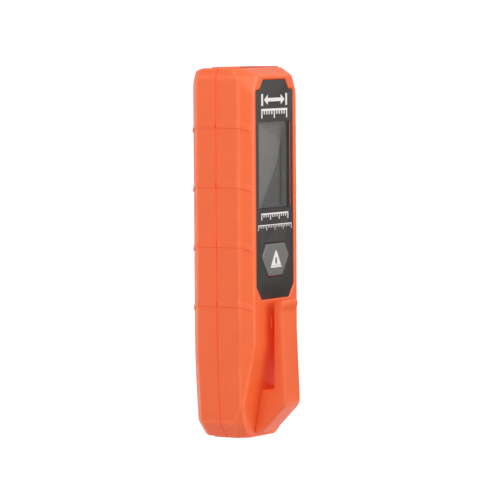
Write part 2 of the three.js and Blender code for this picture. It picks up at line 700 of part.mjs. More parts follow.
place('main_board', circuitBoard(), boardGreen);
place('control_chip', block(-7, 0, -3.95, -2.8, 34, 41), chipBlack);
place('ranging_chip', block(-4, 3, -3.95, -2.8, 80, 87), chipBlack);
place('clock_crystal', block(3, 6.4, -3.95, -3, 36, 38.4), steel);
place('beeper', rodAlongY(5.6, 44.5, 4, -8.2, BOARD_FACE_Y - 0.05), blackPlastic);

place('optics_chassis', opticsChassis(), blackPlastic);
place('receiver_lens', domedLens(RECEIVER_X, 3, 118.5, 0.9, 1.1), glass);
place('emitter_lens', domedLens(EMITTER_X, 2, 118.7, 0.8, 0.9), glass);
place('laser_diode', turned([[0, 93.95], [1.65, 93.95], [1.65, 94.9], [1.2, 94.9],
  [1.2, 97.4], [0, 97.4]], EMITTER_X, OPTICS_Y), brass);
place('light_sensor', block(RECEIVER_X - 1.5, RECEIVER_X + 1.5, OPTICS_Y - 1.5,
  OPTICS_Y + 1.5, 93.95, 95.1), chipBlack);
place('receiver_board', block(-8.8, 8.8, OPTICS_Y - 3.1, OPTICS_Y + 3.1, 92.9, 93.9),
  boardGreen);
place('window_gasket', windowGasket(), foam);
place('optics_window', block(-WINDOW_HALF + 0.05, WINDOW_HALF - 0.05, WINDOW_Y0 + 0.05,
  WINDOW_Y1 - 0.05, HEIGHT - 1, HEIGHT - 0.02), smoked);
place('optics_bezel', opticsBezel(), orange);

const lowPlate = [BAY_Z0 + 0.1, BAY_Z0 + 0.5];
const highPlate = [BAY_Z1 - 0.7, BAY_Z1 - 0.3];
const springRoom = 4.3;
place('cell_left', cell(-CELL_X, highPlate[0] - 0.1 - CELL_LENGTH, true), cellWrap);
place('cell_right', cell(CELL_X, lowPlate[1] + 0.1, false), cellWrap);
place('contact_bridge', block(-9.5, 9.5, 0.8, 8.4, ...lowPlate), steel);
place('contact_positive', block(-9.5, -1.2, 0.8, 8.4, ...highPlate), steel);
place('contact_negative', block(1.2, 9.5, 0.8, 8.4, ...highPlate), steel);
place('spring_left', contactSpring(-CELL_X, lowPlate[1] + 0.05, lowPlate[1] + springRoom), steel);
place('spring_right', contactSpring(CELL_X, highPlate[0] - springRoom, highPlate[0] - 0.05),
  steel);

place('belt_clip_root', clipRoot(), orange);
place('belt_clip_arm', clipArm(), orange);
CLIP_SCREWS.forEach(([x, z], i) => {
  place(`clip_screw_${i + 1}`, screw(x, z, -5.45, 1.5, 1, 0.7, 7, 1), steel);
});
HOUSING_SCREWS.forEach(([x, z], i) => {
  place(`housing_screw_${i + 1}`, screw(x, z, 9.25, 1.8, 1.2, 0.75, 14, 1), steel);
});
BOARD_SCREWS.forEach(([x, z], i) => {
  place(`board_screw_${i + 1}`, screw(x, z, BOARD_BACK_Y + 0.02, 1.25, 0.8, 0.5, 4.2, 1), steel);
});

export default device;
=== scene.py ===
"""The looks of a pocket laser distance meter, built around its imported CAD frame.

Shapes are worked out in millimetres about the middle of the housing: the front faces -Y, +X is to
the right when the front is read, and +Z is up. to_frame() puts them into the row frame in metres.
"""

import math

import bmesh
import bpy
import numpy as np
from mathutils import Matrix, Vector


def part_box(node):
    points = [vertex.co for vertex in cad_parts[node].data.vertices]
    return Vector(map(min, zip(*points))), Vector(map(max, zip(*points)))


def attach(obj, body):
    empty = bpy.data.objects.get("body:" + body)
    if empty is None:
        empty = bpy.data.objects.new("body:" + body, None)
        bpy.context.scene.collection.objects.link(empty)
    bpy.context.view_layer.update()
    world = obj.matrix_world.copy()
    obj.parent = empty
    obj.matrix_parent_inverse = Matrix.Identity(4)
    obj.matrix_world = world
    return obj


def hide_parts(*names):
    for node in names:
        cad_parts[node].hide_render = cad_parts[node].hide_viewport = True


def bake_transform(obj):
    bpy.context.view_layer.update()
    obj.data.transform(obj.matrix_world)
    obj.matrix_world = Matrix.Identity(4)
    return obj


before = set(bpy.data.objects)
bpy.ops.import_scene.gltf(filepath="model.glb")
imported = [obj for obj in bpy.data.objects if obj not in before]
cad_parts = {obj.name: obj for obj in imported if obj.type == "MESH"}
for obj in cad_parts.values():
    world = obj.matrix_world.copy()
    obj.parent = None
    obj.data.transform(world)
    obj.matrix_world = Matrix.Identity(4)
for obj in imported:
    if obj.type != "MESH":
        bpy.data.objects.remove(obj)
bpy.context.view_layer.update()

# ---- sizes, from the frame
MM = 0.001
HALF_DEPTH = 12.0
RIB_PROUD = 0.3
SHIFT_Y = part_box("rear_shell")[1].y / MM - HALF_DEPTH - RIB_PROUD


def node_box(name):
    """Lowest and highest corner of a CAD node, in millimetres about the housing's middle."""
    shift = np.array([0, SHIFT_Y, 0])
    return [np.array(corner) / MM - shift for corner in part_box(name)]


HALF_WIDTH = node_box("rear_shell")[1][0] - RIB_PROUD
HEIGHT = node_box("rear_shell")[1][2]
CHAMFER = 3.8
WALL = 1.8
SOFTNESS = 0.16
FRONT_END = node_box("front_shell")[1][1]
SEAM_HALF = 0.175
REAR_END = FRONT_END + 2 * SEAM_HALF
SEAM_BEVEL = 0.14
LAP_Z, LAP_DEPTH = 31.0, 5.5
FAR = 60.0

RIB_FIRST_Z = 44.75
RIB_PITCH = 20.05
RIB_COUNT = 4
RIB_HEIGHT = 2.25
RIB_DROP = 1.7

PANEL_LOW, PANEL_HIGH = node_box("front_panel")
PANEL_FACE = PANEL_LOW[1]
PANEL_BACK = -10.45
POCKET_FLOOR = -10.35
FLOOR_BACK = -9.15
LENS_LOW, LENS_HIGH = node_box("display_window")
BUTTON_LOW, BUTTON_HIGH = node_box("button_cap")
CLIP_LOW = node_box("belt_clip_root")[0]
ARM_HIGH = node_box("belt_clip_arm")[1]
BEZEL_LOW, BEZEL_HIGH = node_box("optics_bezel")
GLASS_LOW, GLASS_HIGH = node_box("optics_window")
DOOR_TOP = node_box("battery_door")[1][2]
DOOR_AXIS = (11.2, 28.3)


def to_frame(points):
    """Points in millimetres about the housing's middle, as row frame points in metres."""
    return (np.asarray(points, float).reshape(-1, 3) + (0, SHIFT_Y, 0)) * MM


def to_body(points):
    """The reverse of to_frame()."""
    return np.asarray(points, float).reshape(-1, 3) / MM - (0, SHIFT_Y, 0)


def middle(name):
    low, high = node_box(name)
    return (low + high) / 2


def round_box(name):
    """A round node's lowest and highest corner, its middle, and its radius across X."""
    low, high = node_box(name)
    return low, high, (low + high) / 2, (high[0] - low[0]) / 2


# ---- meshes
def add_mesh(name, points, faces):
    """A closed mesh with its faces pointing out."""
    mesh = bpy.data.meshes.new(name)
    mesh.from_pydata(to_frame(points).tolist(), [], [list(map(int, face)) for face in faces])
    made = bmesh.new()
    made.from_mesh(mesh)
    bmesh.ops.remove_doubles(made, verts=made.verts, dist=2e-7)
    bmesh.ops.recalc_face_normals(made, faces=made.faces)
    made.to_mesh(mesh)
    made.free()
    part = bpy.data.objects.new(name, mesh)
    bpy.context.scene.collection.objects.link(part)
    return part


def smooth(part, angle=35):
    """Shades a part smoothly, with creases where its faces turn by more than the angle."""
    part.data.polygons.foreach_set("use_smooth", [True] * len(part.data.polygons))
    part.data.set_sharp_from_angle(angle=math.radians(angle))
    return part


def combine(part, tools, operation):
    """Joins tools to a part, cuts them from it or keeps what they share, and removes the tools."""
    for tool in tools:
        step = part.modifiers.new("combine", "BOOLEAN")
        step.operation = operation
        step.object = tool
        step.solver = "MANIFOLD"
    bpy.context.view_layer.update()
    graph = bpy.context.evaluated_depsgraph_get()
    made = bpy.data.meshes.new_from_object(part.evaluated_get(graph))
    made.name = part.name
    part.modifiers.clear()
    part.data = made
    for tool in tools:
        bpy.data.objects.remove(tool)
    return part


def cut(part, *tools):
    return combine(part, tools, "DIFFERENCE")


def join(part, *tools):
    return combine(part, tools, "UNION")


def keep(part, *tools):
    return combine(part, tools, "INTERSECT")


def block(low, high, name="tool"):
    """A plain box, for cutting."""
    corners = [[x, y, z] for x in (low[0], high[0]) for y in (low[1], high[1])
               for z in (low[2], high[2])]
    faces = [(0, 1, 3, 2), (4, 6, 7, 5), (0, 4, 5, 1), (2, 3, 7, 6), (0, 2, 6, 4), (1, 5, 7, 3)]
    return add_mesh(name, corners, faces)


def soft_block(name, low, high, radius, steps=3):
    """A box with rounded edges."""
    part = block(low, high, name)
    made = bmesh.new()
    made.from_mesh(part.data)
    bmesh.ops.bevel(made, geom=made.edges[:], offset=radius * MM, segments=steps, profile=0.5,
                    affect="EDGES")
    made.to_mesh(part.data)
    made.free()
    return smooth(part, 50)


def rounded(corners, radii, grow=0.0, steps=5):
    """A closed outline through corners (anticlockwise), moved out by grow, each corner rounded."""
    points = [np.array(corner, float) for corner in corners]
    radii = radii if hasattr(radii, "__len__") else [radii] * len(points)
    line = []
    for i, here in enumerate(points):
        arriving = here - points[i - 1]
        leaving = points[(i + 1) % len(points)] - here
        arriving = arriving / np.linalg.norm(arriving)
        leaving = leaving / np.linalg.norm(leaving)
        normal_in = np.array([arriving[1], -arriving[0]])
        normal_out = np.array([leaving[1], -leaving[0]])
        mitre = (normal_in + normal_out) / (1 + normal_in @ normal_out)
        cross = arriving[0] * leaving[1] - arriving[1] * leaving[0]
        turn = math.atan2(cross, arriving @ leaving)
        side = 1 if turn > 0 else -1
        radius = max(radii[i] + side * grow, 0.02)
        centre = here + grow * mitre - side * radius * mitre
        start = math.atan2(normal_in[1], normal_in[0])
        for k in range(steps + 1):
            angle = start + turn * k / steps
            line.append(centre + side * radius * np.array([math.cos(angle), math.sin(angle)]))
    return np.array(line)


def rectangle(x0, x1, z0, z1):
    return [(x0, z0), (x1, z0), (x1, z1), (x0, z1)]


AXIS_ORDER = {"X": (2, 0, 1), "Y": (0, 2, 1), "Z": (0, 1, 2)}


def ring_faces(rows, count):
    """Quads between closed rings of count points that follow one another."""
    index = np.arange(rows * count).reshape(rows, count)
    after = np.roll(index, -1, axis=1)
    quads = np.stack([index[:-1], after[:-1], after[1:], index[1:]], axis=-1)
    return quads.reshape(-1, 4).tolist()


def capped(name, rings):
    """A closed solid through rings of points, with a face over the first and the last."""
    count = len(rings[0])
    ends = [range(count), range((len(rings) - 1) * count, len(rings) * count)]
    return add_mesh(name, np.concatenate(rings), ends + ring_faces(len(rings), count))


def loft(name, sections, axis="Y"):
    """A closed solid through outlines at levels: [(outline, level), ...], all with as many points."""
    count = len(sections[0][0])
    rings = [np.column_stack([line, np.broadcast_to(level, (count,))])[:, AXIS_ORDER[axis]]
             for line, level in sections]
    return capped(name, rings)


def plate(name, corners, radii, y_face, y_back, edge=0.0, grow=0.0, steps=5):
    """A plate seen from the front, its front edge rounded by `edge`."""
    sections = [(rounded(corners, radii, grow, steps), y_back)]
    arc = 3 if edge else 0
    for k in range(arc + 1):
        angle = k / max(arc, 1) * math.pi / 2
        inset = edge * (1 - math.cos(angle))
        level = y_face + math.copysign(edge, y_back - y_face) * (1 - math.sin(angle))
        sections.append((rounded(corners, radii, grow - inset, steps), level))
    return loft(name, sections)


def turned(name, profile, centre, axis="Z", sides=48, radii=0.0):
    """A profile of (radius, level) pairs, from one end of the axis to the other, turned about it."""
    line = rounded(profile, radii, steps=4) if radii else np.array(profile, float)
    line[:, 0] = np.maximum(line[:, 0], 0)
    angles = np.arange(sides) * 2 * math.pi / sides
    rings = [np.column_stack([r * np.cos(angles), r * np.sin(angles), np.full(sides, h)])
             for r, h in line]
    points = np.concatenate(rings)[:, AXIS_ORDER[axis]] + np.array(centre, float)
    return add_mesh(name, points, ring_faces(len(line), sides))


def rods(places, radius, start, end):
    """Round bars along Y at places."""
    return [rod((x, 0, z), radius, start, end) for x, _, z in places]


def rod(centre, radius, start, end, axis="Y", sides=32, flare=0.0, name="tool"):
    """A round bar along an axis, for holes and bosses. A flare opens its end out at 45 degrees."""
    profile = [(0, start), (radius, start), (radius, end - flare), (radius + flare, end), (0, end)]
    if not flare:
        profile.pop(2)
    return turned(name, profile, centre, axis, sides)


def tube(name, path, radius, sides=10):
    """A round wire along a path, with flat ends."""
    path = np.asarray(path, float)
    ahead = np.gradient(path, axis=0)
    ahead /= np.linalg.norm(ahead, axis=1)[:, None]
    across = np.cross(ahead, (0, 0, 1))
    across /= np.linalg.norm(across, axis=1)[:, None]
    up = np.cross(across, ahead)
    angles = np.arange(sides) * 2 * math.pi / sides
    round_it = np.cos(angles)[:, None] * across[:, None] + np.sin(angles)[:, None] * up[:, None]
    return smooth(capped(name, list(path[:, None] + radius * round_it)), 50)


# ---- the housing's skin
def facet(normal, point):
    normal = np.array(normal, float)
    normal /= np.linalg.norm(normal)
    return [normal, normal @ np.array(point, float)]


def side_facet(low, high):
    """A face at the +X side through two points (x, z)."""
    return facet((high[1] - low[1], 0, low[0] - high[0]), (low[0], 0, low[1]))


def end_facet(low, high):
    """A face at the back through two points (y, z)."""
    return facet((0, high[1] - low[1], low[0] - high[0]), (0, low[0], low[1]))


def chamfer_facet(side, low, high):
    """A face across a right-hand corner, front (-1) or back (1), through two points (|x|+|y|, z)."""
    slope = (high[0] - low[0]) / (high[1] - low[1])
    return facet((1, side, -slope), (low[0], 0, low[1]))


def facets_along(make, points, *side):
    """Faces through each pair of points that follow one another."""
    return [make(*side, low, high) for low, high in zip(points, points[1:])]


def housing_facets():
    """The housing's faces as unit normals and distances from the origin."""
    edge = HALF_WIDTH + HALF_DEPTH - CHAMFER + 0.1
    top_side, roof_z, roof_run = 122.1, 122.5, 5.0
    right = [
        facet((1, 0, 0), (HALF_WIDTH, 0, 0)),
        facet((1, -1, 0), (edge, 0, 0)),
        facet((1, 1, 0), (edge, 0, 0)),
        side_facet((HALF_WIDTH, top_side), (HALF_WIDTH - 1.5, HEIGHT)),
        facet((0.493, -0.837, 0.246), (10.8, -HALF_DEPTH, roof_z)),
        facet((0.349, -0.513, 0.784), (10.8, -HALF_DEPTH, roof_z)),
    ]
    right += facets_along(chamfer_facet, [(edge, 120), (24.5, 124.2), (21.6, HEIGHT)], 1)
    right += facets_along(chamfer_facet, [(edge, 28), (24.1, 5.4), (19.3, 0)], 1)
    right += facets_along(chamfer_facet, [(edge, LAP_Z), (24.2, 11), (20.4, 4.8), (14.8, 0)], -1)
    right += facets_along(side_facet, [(11.6, 0), (15.8, 5.4), (17.0, 18), (HALF_WIDTH, 36)])
    left = [[normal * (-1, 1, 1), distance] for normal, distance in right]
    centre = [
        facet((0, -1, 0), (0, -HALF_DEPTH, 0)),
        facet((0, 1, 0), (0, HALF_DEPTH, 0)),
        facet((0, 0, 1), (0, 0, HEIGHT)),
        facet((0, 0, -1), (0, 0, FOOT_RISE)),
        facet((0, roof_z - HEIGHT, roof_run), (0, -HALF_DEPTH, roof_z)),
        facet((0, -LAP_Z, -LAP_DEPTH), (0, -HALF_DEPTH, LAP_Z)),
        end_facet((HALF_DEPTH - 1, 0), (HALF_DEPTH, 10)),
    ]
    centre += facets_along(end_facet, [(HALF_DEPTH, 120.5), (HALF_DEPTH - 1.1, 124.1),
                                       (HALF_DEPTH - 2.3, HEIGHT)])
    planes = right + left + centre
    return np.array([p[0] for p in planes]), np.array([p[1] for p in planes])


FOOT_RISE = 0.3
NORMALS, DISTANCES = housing_facets()
FAN_Y = 2.0
AXIS_LOW, AXIS_HIGH = 8.0, 118.0


def ease(low, high, value):
    """Rises smoothly from 0 at low to 1 at high."""
    share = np.clip((value - low) / (high - low), 0, 1)
    return share * share * (3 - 2 * share)


def chamfer_share(y):
    """How far across a chamfer a point is: 0 at the side, 1 at the front or the back."""
    return np.clip((np.abs(y) - (HALF_DEPTH - CHAMFER)) / CHAMFER, 0, 1)


def rib_drop(y):
    """How far a rib has dropped where it crosses a chamfer."""
    return RIB_DROP * chamfer_share(y) ** 1.5


def rib_height(y, z):
    """How far the ribs stand out of the housing: steep below, with a long crown and a soft top."""
    height = np.zeros_like(z)
    for k in range(RIB_COUNT):
        up = z + rib_drop(y) - RIB_FIRST_Z - k * RIB_PITCH
        crown = 1 - 0.2 * ease(0.3, 1.6, up)
        height += ease(0, 0.22, up) * crown * (1 - ease(1.55, RIB_HEIGHT, up))
    fades = 1 - ease(0.72, 1.0, chamfer_share(y)) * (y < 0)
    return RIB_PROUD * height * fades


def seam_bevel(y):
    """The small bevel on both sides of the seam."""
    away = np.maximum(np.abs(y - FRONT_END - SEAM_HALF) - SEAM_HALF, 0)
    return np.maximum(SEAM_BEVEL - away, 0)


def skin_field(points, inset=0.0, detailed=True):
    """Below 0 inside the housing, above 0 outside it."""
    beyond = points @ NORMALS.T - (DISTANCES - inset)
    most = beyond.max(axis=1)
    field = most + SOFTNESS * np.log(np.exp((beyond - most[:, None]) / SOFTNESS).sum(axis=1))
    if detailed:
        _, y, z = points.T
        field = field - rib_height(y, z) + seam_bevel(y)
    return field


def skin_normals(points):
    step = 0.004
    slopes = [skin_field(points + side) - skin_field(points - side) for side in np.eye(3) * step]
    normals = np.column_stack(slopes)
    return normals / np.linalg.norm(normals, axis=1)[:, None]


def edge_share(points):
    """From 0 on a flat to 1 on an outer edge of the housing."""
    beyond = points @ NORMALS.T - DISTANCES
    order = np.argsort(-beyond, axis=1)[:, :2]
    rows = np.arange(len(points))
    gap = beyond[rows, order[:, 0]] - beyond[rows, order[:, 1]]
    facing = (NORMALS[order[:, 0]] * NORMALS[order[:, 1]]).sum(axis=1)
    sharp = np.clip(np.degrees(np.arccos(np.clip(facing, -1, 1))) / 40, 0, 1)
    return np.exp(-(gap / 0.45) ** 2) * sharp


def graded(marks, fine, coarse, growth=1.4):
    """Values through every mark, `fine` apart beside a mark and up to `coarse` apart midway."""
    values = [marks[0]]
    for start, end in zip(marks, marks[1:]):
        half = (end - start) / 2
        steps = [0.0]
        size = fine
        while steps[-1] < half:
            steps.append(steps[-1] + min(size, coarse))
            size *= growth
        steps = np.array(steps) * half / steps[-1]
        values += list(start + steps[1:]) + list(end - steps[-2::-1])
    return np.array(values)


def section_targets(fine, coarse):
    """Points round the housing's level section, close together at its corners and at the seam."""
    flat_x = HALF_WIDTH - CHAMFER
    flat_y = HALF_DEPTH - CHAMFER
    slant = CHAMFER * math.sqrt(2)
    seam_low = FRONT_END - SEAM_BEVEL
    seam_high = REAR_END + SEAM_BEVEL
    side_start = flat_x + slant
    marks = [0, flat_x, side_start]
    marks += [side_start + flat_y + y for y in (seam_low, FRONT_END, REAR_END, seam_high, flat_y)]
    marks += [marks[-1] + slant, marks[-1] + slant + flat_x]
    corners = [(0, -HALF_DEPTH), (flat_x, -HALF_DEPTH), (HALF_WIDTH, -flat_y),
               (HALF_WIDTH, flat_y), (flat_x, HALF_DEPTH), (0, HALF_DEPTH)]
    lengths = np.cumsum([0] + [math.dist(a, b) for a, b in zip(corners, corners[1:])])
    along = graded(marks, fine, coarse)
    x = np.interp(along, lengths, [c[0] for c in corners])
    y = np.interp(along, lengths, [c[1] for c in corners])
    right = np.column_stack([x, y])
    return np.concatenate([right, right[-2:0:-1] * (-1, 1)])


def skin_rays(detailed):
    """Ray starts and directions, as rows from the foot to the top by columns round the housing."""
    columns = section_targets(0.13, 0.85) if detailed else section_targets(1.2, 4)
    start = np.column_stack([np.zeros(len(columns)), np.clip(columns[:, 1], -FAN_Y, FAN_Y)])
    out = columns - start
    out /= np.linalg.norm(out, axis=1)[:, None]
    if detailed:
        marks = [AXIS_LOW]
        for k in range(RIB_COUNT):
            low = RIB_FIRST_Z + k * RIB_PITCH
            marks += [low, low + 0.22, low + 1.55, low + RIB_HEIGHT]
        levels = graded(marks + [AXIS_HIGH], 0.08, 1.3, 1.5)
        top = np.radians(np.concatenate([np.arange(2, 8, 2), np.arange(8, 66, 0.8),
                                         np.arange(66, 90.5, 3)]))
        foot = np.radians(np.concatenate([np.arange(4, 70, 1.2), np.arange(70, 91, 4)]))
    else:
        levels = np.arange(AXIS_LOW, AXIS_HIGH + 1, 10)
        top = foot = np.radians(np.arange(5, 91, 5))
    starts, directions = [], []
    flat = np.column_stack([out, np.zeros(len(out))])
    up = np.array([0, 0, 1.0])
    for tilt in foot[::-1]:
        starts.append(np.column_stack([start, np.full(len(start), AXIS_LOW)]))
        directions.append(flat * math.cos(tilt) - up * math.sin(tilt))
    for level in levels:
        sheared = rib_drop(columns[:, 1]) * ease(20, 40, level) * (1 - ease(108, 117, level))
        starts.append(np.column_stack([start, level - (sheared if detailed else 0)
                                       + np.zeros(len(start))]))
        directions.append(flat)
    for tilt in top:
        starts.append(np.column_stack([start, np.full(len(start), AXIS_HIGH)]))
        directions.append(flat * math.cos(tilt) + up * math.sin(tilt))
    return np.array(starts), np.array(directions)


def housing_form(name, inset=0.0, detailed=True):
    """The housing's outside as one closed mesh, with every face moved in by inset."""
    starts, directions = skin_rays(detailed)
    rows, count, _ = starts.shape
    starts = starts.reshape(-1, 3)
    directions = directions.reshape(-1, 3)
    low = np.zeros(len(starts))
    high = np.full(len(starts), 30.0)
    for _ in range(26):
        middle = (low + high) / 2
        inside = skin_field(starts + directions * middle[:, None], inset, detailed) < 0
        low = np.where(inside, middle, low)
        high = np.where(inside, high, middle)
    return add_mesh(name, starts + directions * low[:, None], ring_faces(rows, count))


def shade_skin(part):
    """Gives the housing's outer surface its exact normals and the attribute of its edges for wear and a
    painted edge highlight.
    """
    smooth(part, 30)
    mesh = part.data
    points = np.empty(len(mesh.vertices) * 3)
    mesh.vertices.foreach_get("co", points)
    points = to_body(points)
    corner_vertex = np.empty(len(mesh.loops), int)
    mesh.loops.foreach_get("vertex_index", corner_vertex)
    shaded = np.empty(len(mesh.loops) * 3, np.float32)
    mesh.corner_normals.foreach_get("vector", shaded)
    shaded = shaded.reshape(-1, 3)
    face_normals = np.empty(len(mesh.polygons) * 3, np.float32)
    mesh.polygon_normals.foreach_get("vector", face_normals)
    sizes = np.empty(len(mesh.polygons), int)
    mesh.polygons.foreach_get("loop_total", sizes)
    flat = np.repeat(face_normals.reshape(-1, 3), sizes, axis=0)
    exact = skin_normals(points)[corner_vertex]
    on_skin = (np.abs(skin_field(points)) < 0.02)[corner_vertex] & ((exact * flat).sum(axis=1) > 0.75)
    shaded[on_skin] = exact[on_skin]
    mesh.normals_split_custom_set(shaded.tolist())
    # The edge mask that the orange material lightens, for wear and a painted edge highlight.
    wear_and_highlight = mesh.attributes.new("wear_and_highlight", "FLOAT", "POINT")
    wear_and_highlight.data.foreach_set("value", (edge_share(points) * (np.abs(skin_field(points)) < 0.05)))
    return part


def slab(y0, y1):
    return block((-FAR, y0, -FAR), (FAR, y1, HEIGHT + FAR))


# ---- outlines on the front
PANEL_TAB, PANEL_NECK = 7.2, 9.3
PANEL_SHOULDER_Z, PANEL_NECK_Z = 117.5, 117.9
PANEL_CORNER_Z, PANEL_FOOT = 51.5, 8.67
FIT = 0.1
PANEL_TOP = PANEL_HIGH[2] + FIT
PANEL_BOTTOM = PANEL_LOW[2] - FIT
PANEL_HALF = PANEL_HIGH[0] + FIT


def panel_corners():
    right = [(PANEL_FOOT, PANEL_BOTTOM), (PANEL_HALF, PANEL_CORNER_Z),
             (PANEL_HALF, PANEL_SHOULDER_Z), (PANEL_NECK, PANEL_NECK_Z), (PANEL_TAB, PANEL_TOP)]
    return right + [(-x, z) for x, z in right[::-1]]


PANEL_LINE = (panel_corners(), [0.5, 0.6, 0.35, 0.7, 0.45, 0.45, 0.7, 0.35, 0.6, 0.5])
BUTTON_FOOT, BUTTON_MID, BUTTON_TOP = (4.3, 54.7), (8.75, 61.3), (6.0, 65.7)


def button_corners():
    right = [BUTTON_FOOT, BUTTON_MID, BUTTON_TOP]
    return right + [(-x, z) for x, z in right[::-1]]


BUTTON_LINE = (button_corners(), [0.7, 0.9, 0.7, 0.7, 0.9, 0.7])


# ---- housing parts
GRIP_X, GRIP_LOW, GRIP_TOP = 2.9, 36.7, 41.0
SHELL_BORE, BOARD_BORE, HEAD_BORE, HEAD_SEAT = 0.85, 0.6, 2.0, 9.2
BAY_HALF, BAY_LOW, BAY_TOP, BAY_WALL = 11.2, 30.5, 81.1, 1.2
FRAME_HALF, FRAME_LOW, FRAME_TOP, FRAME_IN = 14.2, 25.4, 88.4, 8.7
LINING = 11.0
PIN_RADIUS, PIN_END = 0.45, 13.5
HOUSING_SCREWS = [middle(f"housing_screw_{i}") for i in (1, 2, 3, 4)]
BOARD_SCREWS = [middle(f"board_screw_{i}") for i in (1, 2, 3, 4)]
CLIP_SCREWS = [middle(f"clip_screw_{i}") for i in (1, 2)]
CLIP_BORE = 0.8


def foot_pad(name):
    """The flat pad that the meter stands on, a little proud of its bottom face."""
    corners = [(8.0, -6.3), (11.2, -3.1), (11.2, 6.4), (-11.2, 6.4), (-11.2, -3.1), (-8.0, -6.3)]
    return loft(name, [(rounded(corners, 1.0, -0.1), 0.0), (rounded(corners, 1.0), 0.1),
                       (rounded(corners, 1.0), FOOT_RISE + 0.4)], "Z")


def window_opening():
    """The open-fronted notch in the top end, for the optics window."""
    half = GLASS_HIGH[0] + 0.1
    corners = rectangle(-half, half, GLASS_LOW[1] - 0.1, GLASS_HIGH[1] + 0.1)
    return loft("tool", [(rounded(corners, 0.5), 120.5), (rounded(corners, 0.5), HEIGHT + 5)], "Z")


def front_surface(z):
    """Where the front face is at a height, on the housing's middle plane."""
    return -HALF_DEPTH + LAP_DEPTH / LAP_Z * max(LAP_Z - z, 0)


def front_case():
    case = housing_form("front_case")
    cavity = housing_form("tool", WALL, False)
    cut(cavity, slab(-FAR, FLOOR_BACK))
    cut(case, slab(FRONT_END, FAR), cavity)
    bosses = [rod((x, 0, z), 2.1, front_surface(z) + 1.2, FRONT_END - 0.2)
              for x, _, z in HOUSING_SCREWS]
    posts = rods(BOARD_SCREWS, 1.5, -9.8, -5.05)
    ridges = [plate("tool", rectangle(x - 0.32, x + 0.32, GRIP_LOW, GRIP_TOP), 0.3,
                    -HALF_DEPTH - 0.35, -HALF_DEPTH + 0.8, 0.2) for x in (-GRIP_X, GRIP_X)]
    join(case, *bosses, *posts, *ridges, keep(foot_pad("tool"), slab(-FAR, FRONT_END)))
    rim = [(3.0, -0.5), (0.8, -0.02), (0.44, 0.05), (0.16, 0.17), (0.02, 0.32)]
    levels = [(grow, deep - HALF_DEPTH) for grow, deep in rim] + [(0, POCKET_FLOOR)]
    outline = [(rounded(*PANEL_LINE, grow), level) for grow, level in levels]
    display = rectangle(-11.1, 11.1, 76.65, 107.9)
    cut(case,
        loft("tool", outline),
        plate("tool", display, 0.6, -11, FLOOR_BACK + 0.2),
        plate("tool", *BUTTON_LINE, -11, FLOOR_BACK + 0.2, grow=0.25),
        window_opening())
    return cut(case, *rods(HOUSING_SCREWS, SHELL_BORE, -6.5, 2),
               *rods(BOARD_SCREWS, BOARD_BORE, -8.6, -3),
               *rods(CLIP_SCREWS, CLIP_BORE, -14, -4))


DOOR_HALF = 12.4
DOOR_IN = 10.4


def door_corners():
    return rectangle(-DOOR_HALF, DOOR_HALF, DOOR_AXIS[1], DOOR_TOP)


def rear_case():
    case = housing_form("rear_case")
    cut(case, slab(-FAR, REAR_END), housing_form("tool", WALL, False))
    tongue = housing_form("tool", 0.2, False)
    cut(tongue, housing_form("tool", WALL + 0.02, False), slab(-FAR, FRONT_END - 1.3),
        slab(REAR_END + 1, FAR))
    tongue.name = "seam_tongue"
    outer = BAY_HALF + BAY_WALL
    bay = plate("tool", rectangle(-outer, outer, BAY_LOW - BAY_WALL, BAY_TOP + BAY_WALL), 1.0, -2.3,
                LINING)
    door_frame = plate("tool", rectangle(-FRAME_HALF, FRAME_HALF, FRAME_LOW, FRAME_TOP), 1.5,
                       FRAME_IN, LINING)
    bosses = rods(HOUSING_SCREWS, 2.7, FRONT_END + 0.5, LINING)
    join(case, bay, door_frame, *bosses, keep(foot_pad("tool"), slab(REAR_END, FAR)))
    gap = 0.25
    opening = [(rounded(door_corners(), 1.2, grow), level) for grow, level in
               ((gap, DOOR_IN - 0.3), (gap, HALF_DEPTH - 0.35), (gap + 0.9, HALF_DEPTH + 0.55))]
    counterbores = [rod((x, 0, z), HEAD_BORE, HEAD_SEAT, HALF_DEPTH + 0.4, flare=0.65)
                    for x, _, z in HOUSING_SCREWS]
    cut(case,
        plate("tool", rectangle(-BAY_HALF, BAY_HALF, BAY_LOW, BAY_TOP), 0.8, -0.9, FAR),
        loft("tool", opening),
        rod((0, *DOOR_AXIS), 1.15, -DOOR_HALF - gap, DOOR_HALF + gap, "X"),
        rod((0, *DOOR_AXIS), PIN_RADIUS + 0.1, -PIN_END - 0.2, PIN_END + 0.2, "X"),
        thumb_scoop(5.5, 1.25, 3.2), window_opening())
    cut(tongue, window_opening())
    cut(case, *rods(HOUSING_SCREWS, SHELL_BORE + 0.1, -2, HALF_DEPTH), *counterbores)
    return case, smooth(tongue, 30)


def stretched(profile, scale, place, sides):
    """A profile turned about Y, stretched along each axis and moved to a place, as a tool."""
    form = turned("tool", profile, (0, 0, 0), "Y", sides)
    points = to_body([v.co for v in form.data.vertices]) * scale + place
    form.data.vertices.foreach_set("co", to_frame(points).ravel())
    return form


def thumb_scoop(half_width, depth, half_height):
    """A shallow dish over the door's upper edge, as a tool."""
    turns = [math.pi * k / 14 for k in range(15)]
    profile = [(math.sin(turn), -math.cos(turn)) for turn in turns]
    place = (0, HALF_DEPTH + 0.1, DOOR_TOP + 0.6)
    return stretched(profile, (half_width, depth, half_height), place, 48)


